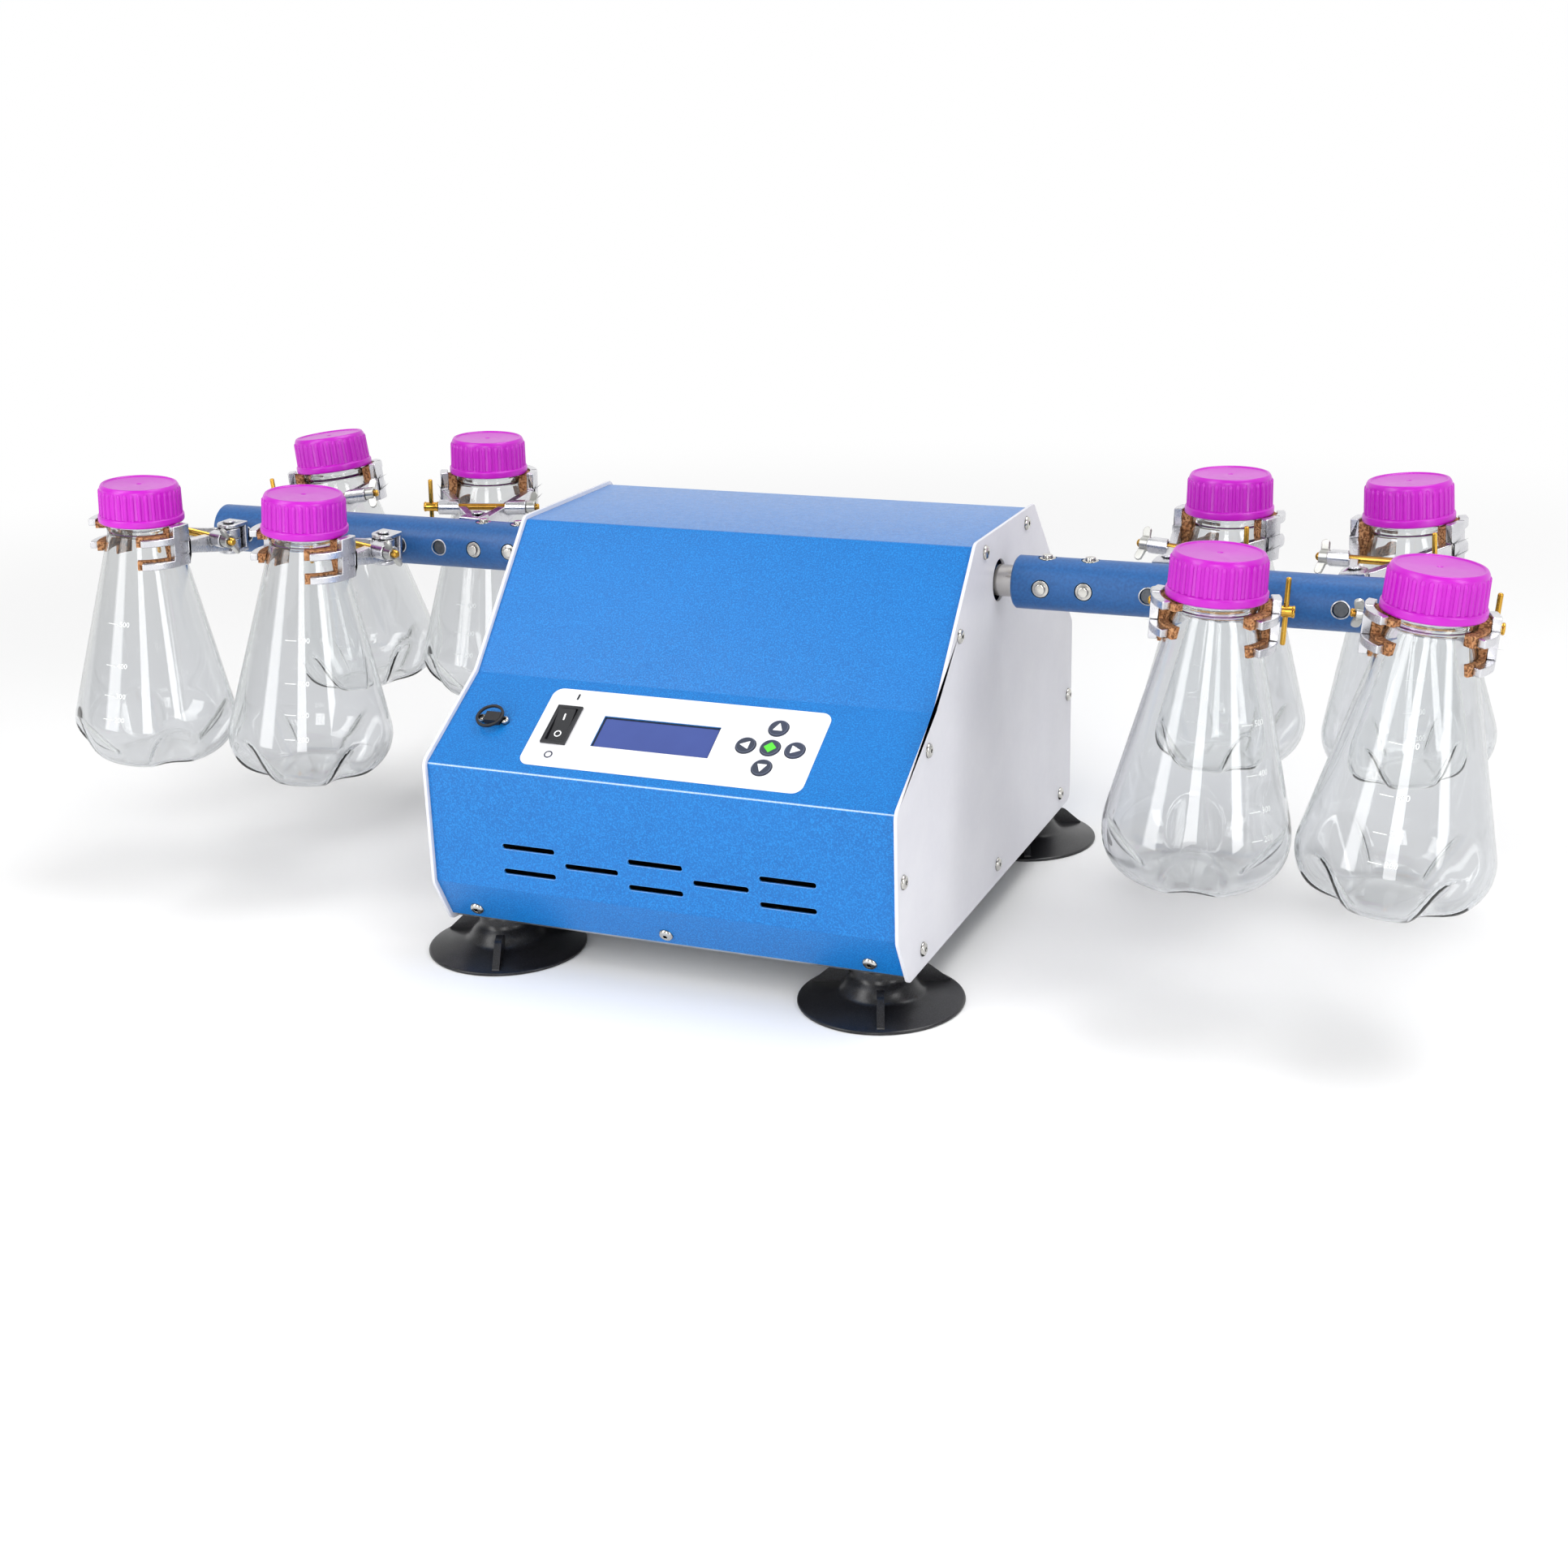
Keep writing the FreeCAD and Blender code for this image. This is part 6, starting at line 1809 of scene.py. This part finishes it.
@dataclass
class Caps:
    """Ribbed screw caps, heights in millimetres from the lower edge of the skirt."""

    stations: Sequence[Station]
    neck_reach: float
    skirt_level: float
    top: float = 24.6
    skirt_radius: float = 27.0
    skirt_height: float = 5.0
    root_radius: float = 25.2
    rib_radius: float = 26.2
    rib_width: float = 3.0
    ribs: int = 36
    bore: float = 20.9
    bore_top: float = 21.9
    recess_radius: float = 22.3
    recess: float = 0.8

    def build(self) -> None:
        """Build the cap bodies and their ribs."""
        form = Form()
        seats = []
        for station in self.stations:
            place = station.grip @ Matrix.Translation((0, -self.neck_reach, self.skirt_level))
            seats.append(Matrix.Translation(place.translation) @ place.to_quaternion().to_matrix().to_4x4())
            form.turned(self.profile(), place, steps=96)
        settle(form.finish("cap_bodies", CAP_PLASTIC, crease=50), "arms", "cap_plastic", "flask_caps")
        piece = self.rib_recipe().run("cap_ribs", seats, {
            "Count": self.ribs, "Foot Radius": (self.rib_radius - self.rib_width / 2) * MM,
            "Head Radius": (self.rib_radius - self.rib_width / 2 - 0.35) * MM,
            "Foot Height": (self.skirt_height - 0.5) * MM, "Head Height": (self.top - 2.6) * MM,
            "Rib Width": self.rib_width * MM, "Finish": CAP_PLASTIC.build(),
        })
        settle(piece, "arms", "cap_plastic", "flask_caps")

    def profile(self) -> list[tuple[float, float]]:
        """Profile of the cap's shell.

        Returns:
            Radius and height pairs from the bore's roof, down inside and up outside to the top's middle.
        """
        corners = [
            (0.0, self.bore_top), (self.bore, self.bore_top), (self.bore, 0.4), (self.bore + 0.4, 0.0),
            (self.skirt_radius - 0.8, 0.0), (self.skirt_radius, 0.9), (self.skirt_radius, self.skirt_height - 0.7),
            (self.skirt_radius - 0.7, self.skirt_height), (self.root_radius, self.skirt_height + 0.15),
            (self.root_radius - 0.35, self.top - 2.0), (self.root_radius - 1.6, self.top),
            (self.recess_radius, self.top), (self.recess_radius - 0.5, self.top - self.recess),
            (1.8, self.top - self.recess), (1.2, self.top - self.recess - 0.5), (0.0, self.top - self.recess - 0.6),
        ]
        return softened(corners, 0.8, 3, closed=False)

    def rib_recipe(self) -> Recipe:
        """Tree that sets round-topped ribs round each cap.

        Returns:
            The recipe.
        """
        recipe = Recipe("cap_rib_rings", {
            "Count": "NodeSocketInt", "Foot Radius": "NodeSocketFloat", "Head Radius": "NodeSocketFloat",
            "Foot Height": "NodeSocketFloat", "Head Height": "NodeSocketFloat", "Rib Width": "NodeSocketFloat",
            "Finish": "NodeSocketMaterial",
        })
        tree, given = recipe.tree, recipe.given
        foot = add(tree, "ShaderNodeCombineXYZ", {"X": given["Foot Radius"], "Z": given["Foot Height"]})
        head = add(tree, "ShaderNodeCombineXYZ", {"X": given["Head Radius"], "Z": given["Head Height"]})
        line = add(tree, "GeometryNodeCurvePrimitiveLine", {"Start": foot.outputs[0], "End": head.outputs[0]})
        fine = add(tree, "GeometryNodeResampleCurve", {"Curve": line.outputs[0], "Count": 13})
        along = add(tree, "GeometryNodeSplineParameter").outputs["Factor"]
        square = worked(tree, "POWER", ranged(tree, along, 0.9, 1.0), 2.0)
        round_top = worked(tree, "POWER", worked(tree, "SUBTRACT", 1.0, square), 0.5)
        least = worked(tree, "MAXIMUM", round_top, 0.3)
        half = worked(tree, "MULTIPLY", given["Rib Width"], 0.5)
        circle = add(tree, "GeometryNodeCurvePrimitiveCircle", {"Resolution": 10, "Radius": half})
        rib = add(tree, "GeometryNodeCurveToMesh", {
            "Curve": fine.outputs[0], "Profile Curve": circle.outputs[0], "Fill Caps": True,
        })
        if "Scale" in rib.inputs:
            tree.links.new(least, rib.inputs["Scale"])
        else:
            radius = add(tree, "GeometryNodeSetCurveRadius", {"Curve": fine.outputs[0], "Radius": least})
            tree.links.new(radius.outputs[0], rib.inputs["Curve"])
        smooth = add(tree, "GeometryNodeSetShadeSmooth", {"Geometry": rib.outputs[0]})
        ring = add(tree, "GeometryNodeMeshLine", {"Count": given["Count"], "Offset": (0.0, 0.0, 0.0)})
        number = add(tree, "GeometryNodeInputIndex").outputs[0]
        step = worked(tree, "DIVIDE", 2 * math.pi, given["Count"])
        spin = add(tree, "ShaderNodeCombineXYZ", {"Z": worked(tree, "MULTIPLY", number, step)})
        rotation = add(tree, "FunctionNodeEulerToRotation", {"Euler": spin.outputs[0]})
        ribs = add(tree, "GeometryNodeInstanceOnPoints", {
            "Points": ring.outputs[0], "Instance": smooth.outputs[0], "Rotation": rotation.outputs[0],
        })
        recipe.end(recipe.spread(ribs.outputs[0]))
        return recipe


# Swing shaft and arms

@dataclass
class Arms:
    """Swing shaft, the two arm bars, the rims of their holes and their clamping screws."""

    rows: ScrewRows
    stations: Sequence[Station]
    rod_hole: float = 4.75
    rim_width: float = 0.7
    rim_thickness: float = 0.04
    rim_gap: float = 0.05
    rim_depth: float = 0.8
    chamfer: float = 1.0
    axis: Vector = field(init=False)
    radius: float = field(init=False)

    def __post_init__(self) -> None:
        """Find the bars' axis and radius."""
        low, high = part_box("right_arm")
        self.axis = Vector((0.0, (low.y + high.y) / 2, (low.z + high.z) / 2))
        self.radius = (high.z - low.z) / 2

    def rims(self) -> None:
        """Bright rims of the clamp rods' holes, on the bars' front and rear."""
        form = Form()
        steps, gap = 48, self.rim_gap
        for station in self.stations:
            pivot = station.stem.translation
            up = (station.stem.to_3x3() @ Z_AXIS).normalized()
            middle = Vector((pivot.x, 0, 0)) / MM
            middle.x -= up.x / up.z * (pivot.z - self.axis.z) / MM
            for face in (-1, 1):
                rows: list[list[Vector]] = [[], [], []]
                for i in range(steps):
                    turn = 2 * math.pi * i / steps * face
                    for row, (reach, sink) in zip(rows, ((gap, self.rim_depth), (gap, -gap), (self.rim_width, -gap))):
                        x = middle.x + (self.rod_hole + reach) * math.cos(turn)
                        z = (self.rod_hole + reach) * math.sin(turn)
                        y = math.sqrt((self.radius / MM) ** 2 - z * z) - sink
                        row.append(Vector((x, face * y, z)))
                faces = [(a, d, c, b) for a, b, c, d in bands(3, steps)]
                form.add([p for row in rows for p in row], faces, Matrix.Translation(self.axis) @ TO_METRES)
        piece = form.finish("rod_hole_rims", BARE_RIM, outward=False)
        shell = piece.modifiers.new("thickness", "SOLIDIFY")
        shell.thickness = self.rim_thickness * MM
        settle(piece, "arms", "clamp_metal")

    def build(self) -> None:
        """Build the shaft, the bars, the rims of their holes and their screws."""
        self.shaft()
        for side in ("left", "right"):
            piece = Form.of_node(f"{side}_arm").finish(f"{side}_arm_bar", ARM_COAT, outward=False)
            shade_round(piece, self.axis, self.radius)
            settle(piece, "arms", "arm_paint", f"{side}_arm")
        self.rims()
        head = ScrewHead(radius=5.0, height=4.0, socket=5.0, recess=2.5, shank=3.0, length=2.0, domed=False)
        piece = self.rows.build("arm_socket_screws", "arm_screws", head.form(), PLATED_STEEL, head.radius * MM)
        settle(piece, "arms", "screw_steel", "arm_screws")

    def shaft(self) -> None:
        """Ground shaft with small end chamfers."""
        low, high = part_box("swing_shaft")
        radius = (high.z - low.z) / 2 / MM
        length = (high.x - low.x) / MM
        start = Vector((low.x, (low.y + high.y) / 2, (low.z + high.z) / 2))
        place = seat_along(start, X_AXIS) @ TO_METRES
        cut = self.chamfer
        profile = [(0, 0), (radius - cut, 0), (radius, cut), (radius, length - cut), (radius - cut, length), (0, length)]
        form = Form()
        form.turned(profile, place, steps=96)
        settle(form.finish("ground_swing_shaft", GROUND_STEEL), "arms", "shaft_steel", "swing_shaft")


# Studio

@dataclass(frozen=True)
class Lamp:
    """Soft rectangular lamp, in metres and watts."""

    name: str
    place: tuple[float, float, float]
    aim: tuple[float, float, float]
    width: float
    height: float
    power: float

    def hang(self) -> None:
        """Hang the lamp, turned towards its aim."""
        data = bpy.data.lights.new(self.name, "AREA")
        data.shape = "RECTANGLE"
        data.size, data.size_y, data.energy = self.width, self.height, self.power
        lamp = linked(self.name, data)
        lamp.location = self.place
        lamp.rotation_mode = "QUATERNION"
        lamp.rotation_quaternion = (Vector(self.aim) - Vector(self.place)).to_track_quat("-Z", "Y")


LAMPS = (
    Lamp("front_softbox", (0.47, -1.94, 0.75), (0.0, 0.0, 0.15), 0.5, 1.4, 11.0),
    Lamp("left_softbox", (-1.15, -1.6, 0.85), (0.0, 0.0, 0.15), 0.7, 1.5, 14.0),
    Lamp("right_softbox", (1.9, -0.9, 0.8), (0.2, 0.0, 0.15), 0.5, 1.5, 13.0),
    Lamp("top_softbox", (0.75, 0.35, 2.2), (0.0, 0.0, 0.1), 1.6, 1.2, 22.0),
    Lamp("crown_softbox", (-0.8, -0.95, 1.55), (0.0, -0.1, 0.15), 0.8, 0.8, 6.0),
)


@dataclass
class Studio:
    """Pale floor, white surround, soft lamps and the camera."""

    camera_place: tuple[float, float, float] = (0.5288, -1.2161, 0.5275)
    yaw: float = 23.3243
    pitch: float = 18.982
    roll: float = -1.7449
    lens: float = 49.87
    sensor: float = 36.0
    floor_reach: float = 14.0
    fade_start: float = 0.6
    fade_stop: float = 1.7
    glass_level: float = 0.72
    glass_edge: float = 0.22

    def build(self) -> None:
        """Set up the floor, the light and the camera."""
        self.floor()
        self.surround()
        for lamp in LAMPS:
            lamp.hang()
        self.camera()
        bpy.context.scene.view_settings.view_transform = "Standard"

    def floor(self) -> None:
        """Pale floor whose far part fades into the white surround, and which is dimmer through glass."""
        reach = self.floor_reach
        mesh = bpy.data.meshes.new("floor")
        corners = [(-reach, -reach, 0), (reach, -reach, 0), (reach, reach, 0), (-reach, reach, 0)]
        mesh.from_pydata(corners, [], [(0, 1, 2, 3)])
        floor = linked("floor", mesh)
        material = bpy.data.materials.new("pale_floor")
        tree = empty_tree(material)
        place = add(tree, "ShaderNodeTexCoord").outputs["Object"]
        far = add(tree, "ShaderNodeVectorMath", {0: place}, operation="LENGTH").outputs["Value"]
        fade = ranged(tree, far, self.fade_start, self.fade_stop, interpolation_type="SMOOTHSTEP")
        path = add(tree, "ShaderNodeLightPath").outputs
        shade = mixed(tree, path["Is Transmission Ray"], linear("#FBFBFB"), linear("#D6D7DA"))
        matt = add(tree, "ShaderNodeBsdfDiffuse", {"Color": shade})
        level = mixed(tree, path["Is Transmission Ray"], 1.0, self.glass_level, coloured=False)
        white = add(tree, "ShaderNodeEmission", {"Color": (1, 1, 1, 1), "Strength": level})
        share = worked(tree, "MULTIPLY", fade, worked(tree, "SUBTRACT", 1.0, path["Is Diffuse Ray"]))
        mix = add(tree, "ShaderNodeMixShader", {0: share, 1: matt.outputs[0], 2: white.outputs[0]})
        add(tree, "ShaderNodeOutputMaterial", {"Surface": mix.outputs[0]})
        mesh.materials.append(material)

    def surround(self) -> None:
        """Surround: white to the camera, dimmer at the front in mirrors, dark at the sides through glass."""
        world = bpy.data.worlds.new("white_surround")
        bpy.context.scene.world = world
        tree = empty_tree(world)
        way = add(tree, "ShaderNodeTexCoord").outputs["Generated"]
        parts = add(tree, "ShaderNodeSeparateXYZ", {"Vector": way})
        flag = ranged(tree, parts.outputs["Y"], -0.35, 0.35, 0.4, 1.0, interpolation_type="SMOOTHSTEP")
        path = add(tree, "ShaderNodeLightPath").outputs
        mirrored = mixed(tree, path["Is Glossy Ray"], 0.5, flag, coloured=False)
        side = worked(tree, "ABSOLUTE", parts.outputs["X"])
        edge = ranged(tree, side, 0.45, 0.85, self.glass_level, self.glass_edge, interpolation_type="SMOOTHSTEP")
        through = mixed(tree, path["Is Transmission Ray"], mirrored, edge, coloured=False)
        level = mixed(tree, path["Is Camera Ray"], through, 1.0, coloured=False)
        light = add(tree, "ShaderNodeBackground", {"Color": (1, 1, 1, 1), "Strength": level})
        add(tree, "ShaderNodeOutputWorld", {"Surface": light.outputs[0]})

    def camera(self) -> None:
        """Camera at the photograph's place and angle."""
        yaw, pitch, roll = (math.radians(a) for a in (self.yaw, self.pitch, self.roll))
        forward = Vector((-math.sin(yaw) * math.cos(pitch), math.cos(yaw) * math.cos(pitch), -math.sin(pitch)))
        right = Vector((math.cos(yaw), math.sin(yaw), 0))
        up = right.cross(forward)
        tilted = right * math.cos(roll) + up * math.sin(roll)
        upright = up * math.cos(roll) - right * math.sin(roll)
        data = bpy.data.cameras.new("camera")
        data.sensor_width, data.lens = self.sensor, self.lens
        camera = linked("camera", data)
        turn = Matrix((tilted, upright, -forward)).transposed().to_4x4()
        camera.matrix_world = Matrix.Translation(self.camera_place) @ turn
        bpy.context.scene.camera = camera


def main() -> None:
    """Build the shaker and its studio."""
    logging.basicConfig(level=logging.INFO, format="%(name)s: %(message)s")
    joints = {joint["name"]: joint for joint in frame["joints"]}
    names = [name.removesuffix("_jaw_open") for name in joints if name.endswith("_jaw_open")]
    stations = [Station.found(name, joints) for name in names]
    housing = Housing()
    housing.build()
    Console().build()
    Arms(housing.rows, stations).build()
    Clamps(stations).build()
    Flasks(stations).build()
    Studio().build()


if __name__ == "__main__":
    main()
